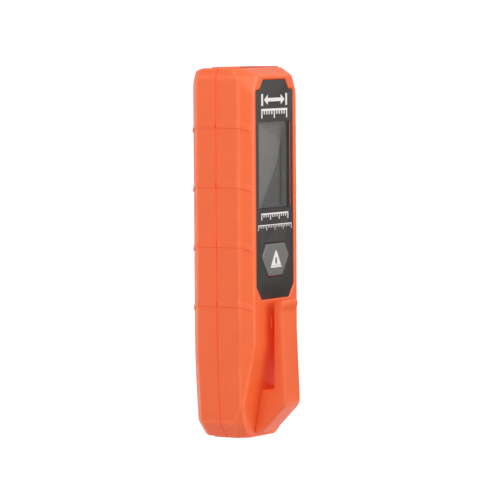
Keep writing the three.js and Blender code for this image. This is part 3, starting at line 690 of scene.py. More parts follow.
def door_cover():
    cover = housing_form("door_cover")
    outline = [(rounded(door_corners(), 1.0, grow), level) for grow, level in
               ((0, DOOR_IN), (0, HALF_DEPTH - 0.3), (-0.75, HALF_DEPTH + 0.45))]
    keep(cover, loft("tool", outline))
    inner = plate("tool", rectangle(-11, 11, 33, 82), 1.0, 10, DOOR_IN + 0.35)
    ribs = [plate("tool", rectangle(-10.5, 10.5, z - 0.4, z + 0.4), 0.3, DOOR_IN, DOOR_IN + 0.6)
            for z in (38, 76.5)]
    cut(cover, thumb_scoop(5.2, 0.9, 2.4), inner)
    barrel = rod((0, *DOOR_AXIS), 0.8, -DOOR_HALF, DOOR_HALF, "X", 40)
    half = [(PIN_RADIUS, PIN_END - 0.15), (PIN_RADIUS - 0.15, PIN_END), (0, PIN_END)]
    pins = turned("tool", [(r, -x) for r, x in half[::-1]] + half, (0, *DOOR_AXIS), "X", 32)
    return join(cover, *ribs, barrel, pins)


# ---- front panel, display, button
WELL = 0.12
LENS_HALF = LENS_HIGH[0] + 0.08
LENS_Z = (LENS_LOW[2] - 0.08, LENS_HIGH[2] + 0.08)
LCD_LOW, LCD_HIGH = node_box("lcd_glass")
LCD_FACE = LCD_LOW[1]
LIP_WIDTH = 0.13


def display_rectangle(grow):
    return rectangle(-LENS_HALF - grow, LENS_HALF + grow, LENS_Z[0] - grow, LENS_Z[1] + grow)


def panel_plate():
    panel = plate("panel_plate", *PANEL_LINE, PANEL_FACE, PANEL_BACK, 0.12, -FIT)
    skirt = plate("tool", display_rectangle(0.75), 0.8, PANEL_BACK - 0.5, LCD_FACE - FIT)
    join(panel, skirt)
    gap, flare = 0.3, 0.12
    button_hole = [(rounded(*BUTTON_LINE, gap + grow), level) for grow, level in
                   ((flare + 1, PANEL_FACE - 1), (flare, PANEL_FACE), (0, PANEL_FACE + flare),
                    (0, -9))]
    seat = LENS_HIGH[1] + 0.03
    cut(panel,
        plate("tool", display_rectangle(0), 0.5, -FAR, seat),
        plate("tool", display_rectangle(-WELL), 0.4, -FAR, 0),
        loft("tool", button_hole))
    return smooth(panel, 30)


def display_lip():
    """A thin orange rib of the housing that shows along the display window's right edge."""
    corners = rectangle(LENS_HALF - LIP_WIDTH, LENS_HALF + 0.1, LENS_Z[0] + 0.3, LENS_Z[1] - 0.3)
    return smooth(plate("display_lip", corners, 0.05, LENS_LOW[1] - 0.01, LENS_LOW[1] + 0.2, 0.03))


def display_lens():
    """A clear window beside the lip, with a fine bevel."""
    corners = rectangle(-LENS_HALF + 0.03, LENS_HALF - LIP_WIDTH - 0.03, LENS_Z[0] + 0.03,
                        LENS_Z[1] - 0.03)
    return smooth(plate("display_lens", corners, 0.4, LENS_LOW[1], LENS_HIGH[1], 0.05), 50)


def display_liner():
    """The grey frame that lines the well between the window and the display cell."""
    back = LCD_FACE - 0.12
    liner = plate("display_liner", display_rectangle(-WELL - 0.03), 0.35, PANEL_BACK + 0.1, back)
    cut(liner, plate("tool", display_rectangle(-WELL - 0.28), 0.25, -FAR, 0))
    return smooth(liner)


def lcd_cell():
    """The liquid crystal cell: two glass sheets, the front one shorter at the connector end."""
    low, high = LCD_LOW, LCD_HIGH
    step = (low[1] + high[1]) / 2
    cell = soft_block("lcd_cell", (low[0], low[1], low[2] + 1.6), (high[0], step, high[2]), 0.06, 2)
    join(cell, soft_block("tool", (low[0], step - 0.02, low[2]), (high[0], high[1], high[2]),
                          0.06, 2))
    return smooth(cell, 50)


def button_form():
    face, back = BUTTON_LOW[1], -8.4
    rim, drop = 0.82, 0.36
    sections = [(rounded(*BUTTON_LINE, 0), back),
                (rounded(*BUTTON_LINE, 0), face + drop + 0.12)]
    arc = 4
    for k in range(arc + 1):
        angle = (0.12 + 0.88 * k / arc) * math.pi / 2
        sections.append((rounded(*BUTTON_LINE, -rim * (1 - math.cos(angle))),
                         face + (drop + 0.1) * (1 - math.sin(angle))))
    cap = loft("button_form", sections)
    flange = plate("tool", *BUTTON_LINE, -9, back, 0.1, 0.9)
    stem = rod((0, 0, middle("switch_plunger")[2]), 1.5, back - 0.1, BUTTON_HIGH[1])
    join(cap, flange, stem)
    cut(cap, plate("tool", legend_corners(), 0.12, face - 1, face + 0.14, grow=0.03))
    return smooth(cap, 30)


def legend_corners():
    low, high = node_box("button_legend")
    return [(low[0], low[2]), (high[0], low[2]), (0.32, high[2] - 0.5), (-0.32, high[2] - 0.5)]


def button_mark():
    """A plain pointed mark with an oval hole and a fine line above its base."""
    low, high = node_box("button_legend")
    face = BUTTON_LOW[1]
    mark = plate("button_mark", legend_corners(), 0.12, face - 0.02, face + 0.12, 0.03)
    oval = stretched([(0, 0), (1, 0), (1, 4), (0, 4)], (0.62, 1, 1.25), (0, face - 2, low[2] + 2.3),
                     40)
    line = block((low[0] - 1, face - 1, low[2] + 0.62), (high[0] + 1, face + 1, low[2] + 0.74))
    cut(mark, oval, line)
    return smooth(mark, 30)


def panel_marks():
    """White marks on the panel: a distance arrow between two bars, and two ruler scales."""
    bars = []

    def mark(corners, radius=0.08):
        face = PANEL_FACE
        bars.append(plate("panel_marks", corners, radius, face - 0.03, face + 0.05))

    arrow_z, reach, head = 114.3, 8.3, 2.4
    for side in (-1, 1):
        x0, x1 = sorted((side * reach, side * (reach - 1.15)))
        mark(rectangle(x0, x1, arrow_z - 2.0, arrow_z + 2.0))
        tip = side * (reach - 1.75)
        base = tip - side * head
        triangle = [(tip, arrow_z), (base, arrow_z + 1.75), (base, arrow_z - 1.75)]
        mark(triangle if side < 0 else triangle[::-1])
    stem = reach - 1.75 - head + 0.3
    mark(rectangle(-stem, stem, arrow_z - 0.6, arrow_z + 0.6))

    def scale(top, half, pitch, tall, short, width, every):
        count = int(round(2 * half / pitch))
        mark(rectangle(-half - width / 2, half + width / 2, top - width, top))
        for k in range(count + 1):
            x = -half + k * pitch
            drop = tall if k % every == 0 else short
            mark(rectangle(x - width / 2, x + width / 2, top - drop, top - width + 0.02), 0.03)

    scale(111.3, 8.0, 1.6, 3.2, 1.9, 0.72, 5)
    scale(76.1, 8.4, 1.4, 2.3, 1.4, 0.5, 4)
    scale(72.2, 10.6, 1.06, 1.9, 1.1, 0.3, 5)
    first, rest = bars[0], bars[1:]
    join(first, *rest)
    first.name = "panel_marks"
    return smooth(first, 30)


# ---- belt clip
CLIP_HALF = ARM_HIGH[0]
CLIP_MAX = CLIP_LOW[1]
CLIP_BACK, CLIP_LEDGE, CLIP_KNEE, CLIP_TOE = -14.2, 16.3, 11.2, -9.0
TIP_BACK, TIP_FRONT, TIP_LIP, TIP_WAIST = -14.3, -17.75, (-17.85, 45.0), (-17.25, 43.0)


def clip_side_view():
    """The clip's outline (y, z) with the edge radius at each point."""
    top = ARM_HIGH[2]
    low = CLIP_LOW[2]
    seat = 0.06
    corners = [(front_surface(low) - seat, low), (front_surface(CLIP_LEDGE) - seat, CLIP_LEDGE),
               (CLIP_BACK, CLIP_LEDGE), (TIP_BACK, top), (TIP_FRONT, top), TIP_LIP, TIP_WAIST,
               (CLIP_MAX + 0.02, CLIP_KNEE), (CLIP_TOE, low)]
    radii = [0.3, 0.3, 1.3, 1.9, 1.1, 1.6, 2.5, 4.5, 1.2]
    edges = [0.25, 0.25, 0.45, 0.5, 1.05, 1.05, 1.05, 1.1, 1.0]
    line = rounded(corners, radii, steps=8)
    sizes = np.repeat(edges, 9)
    fine, kept = [], []
    for i in range(len(line)):
        after = (i + 1) % len(line)
        gap = np.linalg.norm(line[after] - line[i])
        pieces = max(1, math.ceil(gap / 0.9))
        for k in range(pieces):
            share = k / pieces
            fine.append(line[i] * (1 - share) + line[after] * share)
            turn = ease(0.1, 0.9, share) if gap < 6 else ease(0.35, 0.65, share)
            kept.append(sizes[i] * (1 - turn) + sizes[after] * turn)
    return np.array(fine), np.array(kept)


def clip_width(y, z):
    """The clip's half width: narrower round its tip and its foot, flared where it meets the front."""
    foot, tip = 0.5, 0.7
    low, top = CLIP_LOW[2], ARM_HIGH[2]
    narrow = foot - np.sqrt(np.maximum(foot ** 2 - np.clip(low + foot - z, 0, foot) ** 2, 0))
    narrow += tip - np.sqrt(np.maximum(tip ** 2 - np.clip(z - top + tip, 0, tip) ** 2, 0))
    away = np.array([front_surface(level) for level in z]) - y
    return CLIP_HALF - narrow + 0.55 * (1 - ease(0, 2.2, away)) * (1 - ease(15, 17, z))


def belt_clip():
    line, edge = clip_side_view()
    ahead = np.roll(line, -1, axis=0) - np.roll(line, 1, axis=0)
    ahead /= np.linalg.norm(ahead, axis=1)[:, None]
    inward = np.column_stack([-ahead[:, 1], ahead[:, 0]])
    if np.sum(line[:, 0] * np.roll(line[:, 1], -1) - line[:, 1] * np.roll(line[:, 0], -1)) < 0:
        inward = -inward
    arc = 7
    turns = [(-1, k) for k in range(arc, -1, -1)] + [(1, k) for k in range(arc + 1)]
    sections = []
    for side, k in turns:
        angle = math.pi / 2 * k / arc
        inset = edge * (1 - math.cos(angle))
        level = side * (CLIP_HALF - edge * (1 - math.sin(angle)))
        sections.append((line + inward * inset[:, None], level))
    clip = loft("belt_clip", sections, "X")
    made = bmesh.new()
    made.from_mesh(clip.data)
    bmesh.ops.triangulate(made, faces=[face for face in made.faces if len(face.verts) > 4])
    made.to_mesh(clip.data)
    made.free()
    points = to_body([v.co for v in clip.data.vertices])
    points[:, 0] *= clip_width(points[:, 1], points[:, 2]) / CLIP_HALF
    clip.data.vertices.foreach_set("co", to_frame(points).ravel())
    cut(clip, *rods(CLIP_SCREWS, CLIP_BORE, -13.2, 0))
    return smooth(clip, 40)


# ---- top end
def bezel_frame():
    half, low_y, high_y = BEZEL_HIGH[0], BEZEL_LOW[1], BEZEL_HIGH[1]
    corners = rectangle(-half, half, low_y, high_y)
    levels = [(0, HEIGHT - 0.35)]
    levels += [(grow, BEZEL_HIGH[2] - drop) for grow, drop in ((0, 0.14), (-0.05, 0.04), (-0.14, 0))]
    bezel = loft("bezel_frame", [(rounded(corners, [0.15, 0.15, 1.2, 1.2], grow), level)
                                 for grow, level in levels], "Z")
    inner = GLASS_HIGH[0] + 0.1
    opening = rectangle(-inner, inner, low_y - 3, GLASS_HIGH[1] + 0.1)
    cut(bezel, loft("tool", [(rounded(opening, 0.5, grow), HEIGHT + rise)
                             for grow, rise in ((0, -2), (0, 0.2), (0.3, 0.5))], "Z"))
    return smooth(bezel, 30)


def optics_glass():
    corners = rectangle(GLASS_LOW[0], GLASS_HIGH[0], GLASS_LOW[1], GLASS_HIGH[1])
    levels = [(-0.1, GLASS_LOW[2]), (0, GLASS_LOW[2] + 0.1), (0, GLASS_HIGH[2] - 0.12),
              (-0.12, GLASS_HIGH[2])]
    return smooth(loft("optics_glass", [(rounded(corners, 0.45, grow), level)
                                        for grow, level in levels], "Z"), 50)


def gasket_ring():
    low, high = node_box("window_gasket")
    ring = soft_block("gasket_ring", low, high, 0.35, 4)
    inner = rectangle(low[0] + 2, high[0] - 2, low[1] + 0.8, high[1] - 0.8)
    cut(ring, loft("tool", [(rounded(inner, 0.6), low[2] - 1), (rounded(inner, 0.6), high[2] + 1)],
                   "Z"))
    return smooth(ring, 50)


def domed_lens(name, node):
    low, high, centre, radius = round_box(node)
    rim = low[2] + 0.45 * (high[2] - low[2])
    profile = [(0, low[2]), (radius - 0.12, low[2]), (radius, low[2] + 0.12), (radius, rim)]
    steps = 14
    for k in range(1, steps + 1):
        angle = k / steps * math.pi / 2
        profile.append((radius * 0.96 * math.cos(angle), rim + (high[2] - rim) * math.sin(angle)))
    return smooth(turned(name, profile, (centre[0], centre[1], 0), "Z", 64), 40)


# ---- fasteners and power
def fine_screw(name, node):
    """A pan-head screw with a cross recess and a thread, in the place of its CAD node."""
    low, high, centre, radius = round_box(node)
    tall = 0.28 * radius + 0.6
    seat = high[1] - tall
    head = [(0, seat), (radius - 0.08, seat), (radius, seat + 0.08), (radius, seat + tall * 0.35)]
    for k in range(1, 9):
        angle = k / 8 * math.pi / 2
        head.append((radius * math.cos(angle) ** 0.7, seat + tall * (0.35 + 0.65 * math.sin(angle))))
    screw = turned(name, head, (centre[0], 0, centre[2]), "Y", 40)
    core = radius * 0.34
    shank = [(0, low[1]), (core * 0.4, low[1])]
    pitch = core * 0.9
    turns = int((seat - low[1] - 0.6) / pitch)
    for k in range(turns):
        level = low[1] + 0.4 + k * pitch
        shank += [(core * 0.82, level), (core * 1.18, level + pitch * 0.5)]
    shank += [(core * 0.85, seat - 0.2), (core * 0.85, seat + 0.2), (0, seat + 0.2)]
    join(screw, turned("tool", shank, (centre[0], 0, centre[2]), "Y", 24))
    wide, long = radius * 0.13, radius * 0.58
    recess = []
    for a, b in ((wide, long), (long, wide)):
        slot = rectangle(centre[0] - a, centre[0] + a, centre[2] - b, centre[2] + b)
        recess.append(loft("tool", [(rounded(slot, 0.02, -wide * 0.55, 2), high[1] - tall * 0.6),
                                    (rounded(slot, 0.02, 0.03, 2), high[1] + 0.05)]))
    cut(screw, *recess)
    return smooth(screw, 35)


def power_cell(name, node, nose_up):
    """A cylindrical cell with a crimped wrap, a recessed shoulder and a nose."""
    low, high, centre, radius = round_box(node)
    length = high[2] - low[2]
    profile = [(0, 0.1), (3.7, 0.1), (3.9, 0.0), (4.3, 0.0), (4.45, 0.12), (radius - 0.3, 0.12),
               (radius, 0.45), (radius, length - 1.75), (radius - 0.35, length - 1.25),
               (4.2, length - 1.3), (4.0, length - 1.5), (2.35, length - 1.5),
               (2.1, length - 1.25), (2.0, length - 0.3), (1.75, length), (0, length)]
    levels = [(r, low[2] + h) if nose_up else (r, high[2] - h) for r, h in profile]
    return smooth(turned(name, levels, (centre[0], centre[1], 0), "Z", 72), 40)


def cell_spring(name, node):
    """A conical contact spring with a closed turn at each end."""
    low, high, centre, _ = round_box(node)
    wire = 0.28
    wide, narrow = 3.1, 2.1
    upward = node == "spring_left"
    turns, steps = 5, 220
    share = np.linspace(0, 1, steps)
    rise = ease(0.12, 0.88, share) * 0.35 + np.clip((share - 0.1) / 0.8, 0, 1) * 0.65
    radius = wide + (narrow - wide) * share
    angle = share * turns * 2 * math.pi
    levels = low[2] + wire + (high[2] - low[2] - 2 * wire) * (rise if upward else 1 - rise)
    path = np.column_stack([centre[0] + radius * np.cos(angle),
                            4.6 + radius * np.sin(angle), levels])
    return tube(name, path, wire)


def contact_plate(name, node):
    low, high = node_box(node)
    return soft_block(name, low, high, 0.12, 2)


# ---- inside
def circuit_board(name, node, holes):
    low, high = node_box(node)
    board = soft_block(name, low, high, 0.06, 1)
    if holes:
        cut(board, *rods(BOARD_SCREWS, 0.7, low[1] - 1, high[1] + 1))
    return smooth(board, 30)


def chip(name, node, legs):
    """A moulded package with a chamfered lid, a dimple at its first pin and a row of legs."""
    low, high = node_box(node)
    body_low = low + (0.5, 0.1, 0.5)
    body_high = high - (0.5, 0.0, 0.5)
    package = soft_block(name, body_low, body_high, 0.1, 1)
    cut(package, rod((body_low[0] + 0.7, 0, body_high[2] - 0.7), 0.28, high[1] - 0.08,
                     high[1] + 1, sides=20))
    pitch = (body_high[2] - body_low[2] - 0.8) / (legs - 1)
    pins = []
    for k in range(legs):
        z = body_low[2] + 0.4 + k * pitch
        pins.append(soft_block("tool", (low[0], low[1], z - 0.13), (high[0], low[1] + 0.3, z + 0.13),
                               0.04, 1))
    join(package, *pins)
    return smooth(package, 30)


def small_parts():
    """Chip resistors and capacitors in rows on the back of the main board."""
    low, high = node_box("main_board")
    parts = []
    rows = [(-8.6, 44.5, 6, 2.1), (5.0, 44.0, 5, 2.3), (-8.6, 75.5, 4, 2.2), (7.2, 78.0, 4, 2.4)]
    for x, z, count, pitch in rows:
        for k in range(count):
            parts.append(soft_block("small_parts", (x, high[1] + 0.02, z + k * pitch),
                                    (x + 1.6, high[1] + 0.55, z + k * pitch + 0.8), 0.08, 1))
    join(parts[0], *parts[1:])
    parts[0].name = "small_parts"
    return smooth(parts[0], 30)


def beeper_can():
    low, high, centre, radius = round_box("beeper")
    profile = [(0, low[1] + 0.15), (0.6, low[1] + 0.15), (0.6, low[1]), (radius - 0.3, low[1]),
               (radius, low[1] + 0.3), (radius, high[1]), (0, high[1])]
    return smooth(turned("beeper_can", profile, (centre[0], 0, centre[2]), "Y", 56), 30)


def switch_can():
    low, high, centre, _ = round_box("switch_body")
    can = soft_block("switch_can", low, high, 0.2, 2)
    cut(can, rod((0, 0, centre[2]), 1.75, low[1] - 1, low[1] + 0.45, sides=40))
    return smooth(can, 30)


def switch_stem():
    low, high, centre, radius = round_box("switch_plunger")
    profile = [(0, low[1]), (radius - 0.15, low[1]), (radius, low[1] + 0.15), (radius, high[1]),
               (0, high[1])]
    return smooth(turned("switch_stem", profile, (0, 0, centre[2]), "Y", 40), 30)


def optics_block():
    low, high = node_box("optics_chassis")
    body = soft_block("optics_block", low, high, 0.4, 2)
    for node, bore in (("receiver_lens", 2.7), ("emitter_lens", 1.75)):
        lens_low, _, centre, radius = round_box(node)
        at = (centre[0], centre[1], 0)
        cut(body, rod(at, bore, low[2] - 1, high[2] + 1, "Z", 40),
            rod(at, radius + 0.05, lens_low[2] - 0.1, high[2] + 0.01, "Z", 40, 0.3))
    return smooth(body, 30)


def flex_strip():
    """The flexible circuit that bends from the display cell down to the main board."""
    low, high = node_box("lcd_flex")
    path = [(-7.15, 75.85), (-6.75, 74.9), (-5.95, 74.1), (-5.35, 73.4), (-5.27, 72.0), (-5.26, 69.7)]
    curve = np.array(path)
    fine = np.column_stack([np.interp(np.linspace(0, 5, 41), np.arange(6), curve[:, k])
                            for k in (0, 1)])
    for _ in range(6):
        fine[1:-1] = (fine[:-2] + 2 * fine[1:-1] + fine[2:]) / 4
    ahead = np.gradient(fine, axis=0)
    ahead /= np.linalg.norm(ahead, axis=1)[:, None]
    side = np.column_stack([-ahead[:, 1], ahead[:, 0]]) * 0.1
    outline = np.concatenate([fine + side, (fine - side)[::-1]])
    return smooth(loft("flex_strip", [(outline, low[0]), (outline, high[0])], "X"), 40)


# ---- materials
def shade(name, color, roughness, grain=0.0, grain_size=0.25, mottle=0.03, metal=0.0, wear_and_highlight=None,
          wear_and_highlight_color=None, patina=8.0, rough_spread=0.06, **sockets):
    """A node material: cloudy colour, fine grain in roughness and relief, and lighter edges for wear and
    a painted highlight.
    """
    made = bpy.data.materials.new(name)
    made.use_nodes = True
    nodes, links = made.node_tree.nodes, made.node_tree.links
    shader = nodes["Principled BSDF"]
    place = nodes.new("ShaderNodeTexCoord").outputs["Object"]

    def noise(size, detail):
        texture = nodes.new("ShaderNodeTexNoise")
        texture.inputs["Scale"].default_value = 1 / (size * MM)
        texture.inputs["Detail"].default_value = detail
        links.new(place, texture.inputs["Vector"])
        return texture.outputs["Fac"]

    def mapped(value, low, high, start=0.3, end=0.7):
        step = nodes.new("ShaderNodeMapRange")
        links.new(value, step.inputs["Value"])
        for socket, number in zip(("From Min", "From Max", "To Min", "To Max"),
                                  (start, end, low, high)):
            step.inputs[socket].default_value = number
        return step.outputs["Result"]

    def blend(factor, first, second):
        mix = nodes.new("ShaderNodeMix")
        mix.data_type = "RGBA"
        links.new(factor, mix.inputs["Factor"])
        for socket, value in ((mix.inputs[6], first), (mix.inputs[7], second)):
            if isinstance(value, tuple):
                socket.default_value = (*value, 1)
            else:
                links.new(value, socket)
        return mix.outputs[2]

    dark = tuple(c * (1 - mottle) for c in color)
    light = tuple(min(c * (1 + mottle), 1) for c in color)
    paint = blend(mapped(noise(patina, 3), 0, 1), dark, light)
    rough = mapped(noise(patina * 0.45, 4), roughness - rough_spread, roughness + rough_spread)
    # Edges are lightened by a mask: partly wear, partly a painted highlight along the edges.
    if wear_and_highlight:
        if wear_and_highlight == "attribute":
            source = nodes.new("ShaderNodeAttribute")
            source.attribute_name = "wear_and_highlight"
            wear_and_highlight_mask = source.outputs["Fac"]
        else:
            wear_and_highlight_mask = mapped(nodes.new("ShaderNodeNewGeometry").outputs["Pointiness"], 0, 1, 0.52, 0.6)
        scale = nodes.new("ShaderNodeMath")
        scale.operation = "MULTIPLY"
        links.new(wear_and_highlight_mask, scale.inputs[0])
        links.new(mapped(noise(3, 5), 0.35, 0.85), scale.inputs[1])
        paint = blend(scale.outputs[0], paint, wear_and_highlight_color or tuple(min(c * 1.2 + 0.02, 1) for c in color))
    links.new(paint, shader.inputs["Base Color"])
    links.new(rough, shader.inputs["Roughness"])
    if grain:
        relief = nodes.new("ShaderNodeBump")
        relief.inputs["Strength"].default_value = 1.0
        relief.inputs["Distance"].default_value = grain * MM
        links.new(noise(grain_size, 2), relief.inputs["Height"])
        links.new(relief.outputs["Normal"], shader.inputs["Normal"])
    shader.inputs["Metallic"].default_value = metal
    for socket, value in sockets.items():
        shader.inputs[socket.replace("_", " ")].default_value = value
    return made


def striped(made, color, pitch, width, axis="X"):
    """Adds fine conductor lines of another colour to a material, along one direction."""
    nodes, links = made.node_tree.nodes, made.node_tree.links
    shader = nodes["Principled BSDF"]
    wave = nodes.new("ShaderNodeTexWave")
    wave.bands_direction = axis
    wave.inputs["Scale"].default_value = 0.314 / (pitch * MM)
    wave.inputs["Distortion"].default_value = 0.0
    links.new(nodes.new("ShaderNodeTexCoord").outputs["Object"], wave.inputs["Vector"])
    edge = nodes.new("ShaderNodeMapRange")
    edge.inputs["From Min"].default_value = 1 - width
    edge.inputs["From Max"].default_value = 1 - width * 0.8
    links.new(wave.outputs["Fac"], edge.inputs["Value"])
    mix = nodes.new("ShaderNodeMix")
    mix.data_type = "RGBA"
    links.new(edge.outputs["Result"], mix.inputs["Factor"])
    links.new(shader.inputs["Base Color"].links[0].from_socket, mix.inputs[6])
    mix.inputs[7].default_value = (*color, 1)
    links.new(mix.outputs[2], shader.inputs["Base Color"])
    return made


ORANGE = (0.67, 0.129, 0.026)
# A constant red emission on the orange plastics: a painted glow that keeps their shaded sides red, though
# the plastic is no lamp. Part of their red is carried by it rather than by ORANGE.
PAINTED_RED_GLOW = {"Emission Color": (1, 0.02, 0.005, 1), "Emission Strength": 0.19}
finishes = {
    # The lighter edge colour of the orange plastics is wear and a painted edge highlight.
    "orange_plastic": shade("orange_plastic", ORANGE, 0.42, 0.006, 0.3, 0.025, wear_and_highlight="attribute",
                            wear_and_highlight_color=(0.84, 0.19, 0.06), **PAINTED_RED_GLOW),
    "clip_plastic": shade("clip_plastic", ORANGE, 0.42, 0.006, 0.3, 0.025, wear_and_highlight="pointiness",
                          wear_and_highlight_color=(0.83, 0.165, 0.05), **PAINTED_RED_GLOW),
    # A redder copy of the orange plastic for the seam's tongue: painted shade of the red bounce deep in
    # the crease, with the painted glow.
    "seam_painted_shade": shade("seam_painted_shade", (0.86, 0.09, 0.016), 0.6, 0.006, 0.3, 0.025, **PAINTED_RED_GLOW),
    "panel_grey": shade("panel_grey", (0.025, 0.024, 0.022), 0.38, 0.008, 0.22, 0.06,
                        wear_and_highlight="pointiness"),
    "button_grey": shade("button_grey", (0.145, 0.15, 0.145), 0.5, 0.01, 0.3, 0.05,
                         wear_and_highlight="pointiness"),
    "legend_white": shade("legend_white", (0.8, 0.8, 0.8), 0.45, 0.003, 0.2, 0.03),
    "liner_grey": shade("liner_grey", (0.62, 0.63, 0.61), 0.5, 0.004, 0.25, 0.04),
    "display_clear": shade("display_clear", (0.03, 0.032, 0.03), 0.06, 0.0, 0.2, 0.05,
                           rough_spread=0.02, Alpha=0.36, IOR=2.3),
    "smoked_window": shade("smoked_window", (0.02, 0.012, 0.014), 0.06, 0.0, 0.2, 0.1,
                           rough_spread=0.02, Alpha=0.85),
    "lcd": shade("lcd", (0.53, 0.55, 0.535), 0.3, 0.0, 0.2, 0.03),
    "diffuser": shade("diffuser", (0.8, 0.8, 0.76), 0.55, 0.004, 0.5),
    "flex_copper": striped(shade("flex_copper", (0.45, 0.18, 0.04), 0.35, 0.002), (0.6, 0.3, 0.08),
                           0.5, 0.4),
    "board_green": striped(shade("board_green", (0.012, 0.1, 0.035), 0.35, 0.004, 0.4, 0.15),
                           (0.03, 0.2, 0.07), 1.3, 0.3, "Z"),
    "chip_black": shade("chip_black", (0.012, 0.012, 0.013), 0.5, 0.008, 0.15, 0.1,
                        wear_and_highlight="pointiness"),
    "black_plastic": shade("black_plastic", (0.016, 0.016, 0.017), 0.5, 0.008, 0.25, 0.1,
                           wear_and_highlight="pointiness"),
    "foam": shade("foam", (0.022, 0.022, 0.022), 0.92, 0.12, 0.5, 0.3),
    "lens_glass": shade("lens_glass", (0.75, 0.85, 0.95), 0.04, 0.0, 0.2, 0.02, rough_spread=0.01,
                        IOR=1.52, Transmission_Weight=1.0),
    "steel": shade("steel", (0.6, 0.6, 0.61), 0.28, 0.004, 0.12, 0.06, metal=1.0,
                   wear_and_highlight="pointiness"),
    "brass": shade("brass", (0.75, 0.5, 0.2), 0.25, 0.003, 0.15, 0.06, metal=1.0,
                   wear_and_highlight="pointiness"),
    "cell_wrap": shade("cell_wrap", (0.02, 0.045, 0.1), 0.3, 0.002, 0.4, 0.06),
}


def banded_cell(name, low, high, nose_up):
    """The wrap of a cell: a dark body with a plain metallic band at its nose end."""
    made = shade(name, (0.02, 0.045, 0.1), 0.3, 0.002, 0.4, 0.06, metal=0.25)
    nodes, links = made.node_tree.nodes, made.node_tree.links
    shader = nodes["Principled BSDF"]
    split = nodes.new("ShaderNodeSeparateXYZ")
    links.new(nodes.new("ShaderNodeTexCoord").outputs["Object"], split.inputs[0])
    ramp = nodes.new("ShaderNodeValToRGB")
    shares = (0.025, 0.7, 0.955) if nose_up else (0.045, 0.3, 0.975)
    metal, body, band = (0.62, 0.62, 0.63, 1), (0.02, 0.045, 0.1, 1), (0.55, 0.3, 0.12, 1)
    colours = (metal, body, band, metal) if nose_up else (metal, band, body, metal)
    ramp.color_ramp.interpolation = "CONSTANT"
    while len(ramp.color_ramp.elements) < 4:
        ramp.color_ramp.elements.new(0.5)
    for element, place, colour in zip(ramp.color_ramp.elements, (0, *shares), colours):
        element.position = place
        element.color = colour
    span = nodes.new("ShaderNodeMapRange")
    span.inputs["From Min"].default_value = low[2] * MM
    span.inputs["From Max"].default_value = high[2] * MM
    links.new(split.outputs["Z"], span.inputs["Value"])
    links.new(span.outputs["Result"], ramp.inputs["Fac"])
    links.new(ramp.outputs["Color"], shader.inputs["Base Color"])
    return made


# ---- assembly
def dress(part, slot, *nodes, body="housing", finish=None):
    """Gives a piece its finish (by default the one named like its slot) and the body it rides on, and
    hides the nodes it replaces.
    """
    finish = finish or slot
    part.data.materials.clear()
    part.data.materials.append(finishes[finish] if isinstance(finish, str) else finish)
    if body:
        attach(part, body)
    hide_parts(*nodes)
    return part


def add_detail(part, slot):
    """Gives a housing detail that the CAD leaves out the finish named by its slot, and puts it on the
    housing.
    """
    part.data.materials.append(finishes[slot])
    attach(part, "housing")


dress(shade_skin(front_case()), "orange_plastic", "front_shell")
rear, tongue = rear_case()
dress(shade_skin(rear), "orange_plastic", "rear_shell")
# The seam's tongue is the orange plastic with a redder finish, which is painted shade of the crease.
dress(tongue, "orange_plastic", finish="seam_painted_shade")
dress(shade_skin(door_cover()), "orange_plastic", "battery_door", body="battery_door")

dress(panel_plate(), "panel_grey", "front_panel")
dress(display_lens(), "display_clear", "display_window")
dress(display_liner(), "panel_grey", finish="liner_grey")
dress(display_lip(), "orange_plastic", finish="clip_plastic")
dress(lcd_cell(), "lcd", "lcd_glass")
add_detail(panel_marks(), "legend_white")
dress(button_form(), "button_grey", "button_cap", body="measure_button")
dress(button_mark(), "legend_white", "button_legend", body="measure_button")

dress(bezel_frame(), "orange_plastic", "optics_bezel", finish="clip_plastic")
dress(optics_glass(), "smoked_window", "optics_window")
gasket = dress(gasket_ring(), "foam", "window_gasket")
dress(domed_lens("receiver_glass", "receiver_lens"), "lens_glass", "receiver_lens")
dress(domed_lens("emitter_glass", "emitter_lens"), "lens_glass", "emitter_lens")
dress(optics_block(), "black_plastic", "optics_chassis")

screws = [(kind, node, i) for i in (1, 2, 3, 4)
          for kind, node in (("case_screw", "housing_screw"), ("pcb_screw", "board_screw"))]
for kind, node, i in screws + [("foot_screw", "clip_screw", 1), ("foot_screw", "clip_screw", 2)]:
    dress(fine_screw(f"{kind}_{i}", f"{node}_{i}"), "steel", f"{node}_{i}")

for side, nose_up in (("left", True), ("right", False)):
    node = f"cell_{side}"
    wrap = banded_cell(f"cell_wrap_{side}", *node_box(node), nose_up)
    dress(power_cell(f"power_{node}", node, nose_up), "cell_wrap", node, finish=wrap)
    dress(cell_spring(f"coil_{side}", f"spring_{side}"), "steel", f"spring_{side}")
for node in ("contact_bridge", "contact_positive", "contact_negative"):
    dress(contact_plate(node.replace("contact", "terminal"), node), "steel", node)

dress(circuit_board("logic_board", "main_board", True), "board_green", "main_board")
dress(circuit_board("sensor_board", "receiver_board", False), "board_green", "receiver_board")
dress(chip("logic_chip", "control_chip", 9), "chip_black", "control_chip")
dress(chip("timing_chip", "ranging_chip", 8), "chip_black", "ranging_chip")
add_detail(small_parts(), "chip_black")
dress(beeper_can(), "black_plastic", "beeper")
dress(switch_can(), "black_plastic", "switch_body")
dress(switch_stem(), "button_grey", "switch_plunger", body="switch_plunger")
dress(flex_strip(), "flex_copper", "lcd_flex")

low, high = node_box("door_foam_pad")
pad = dress(soft_block("foam_strip", low, high, 0.2, 3), "foam", "door_foam_pad",
            body="battery_door")

clip = dress(belt_clip(), "orange_plastic", "belt_clip_root", "belt_clip_arm", body=None,
             finish="clip_plastic")
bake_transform(clip)

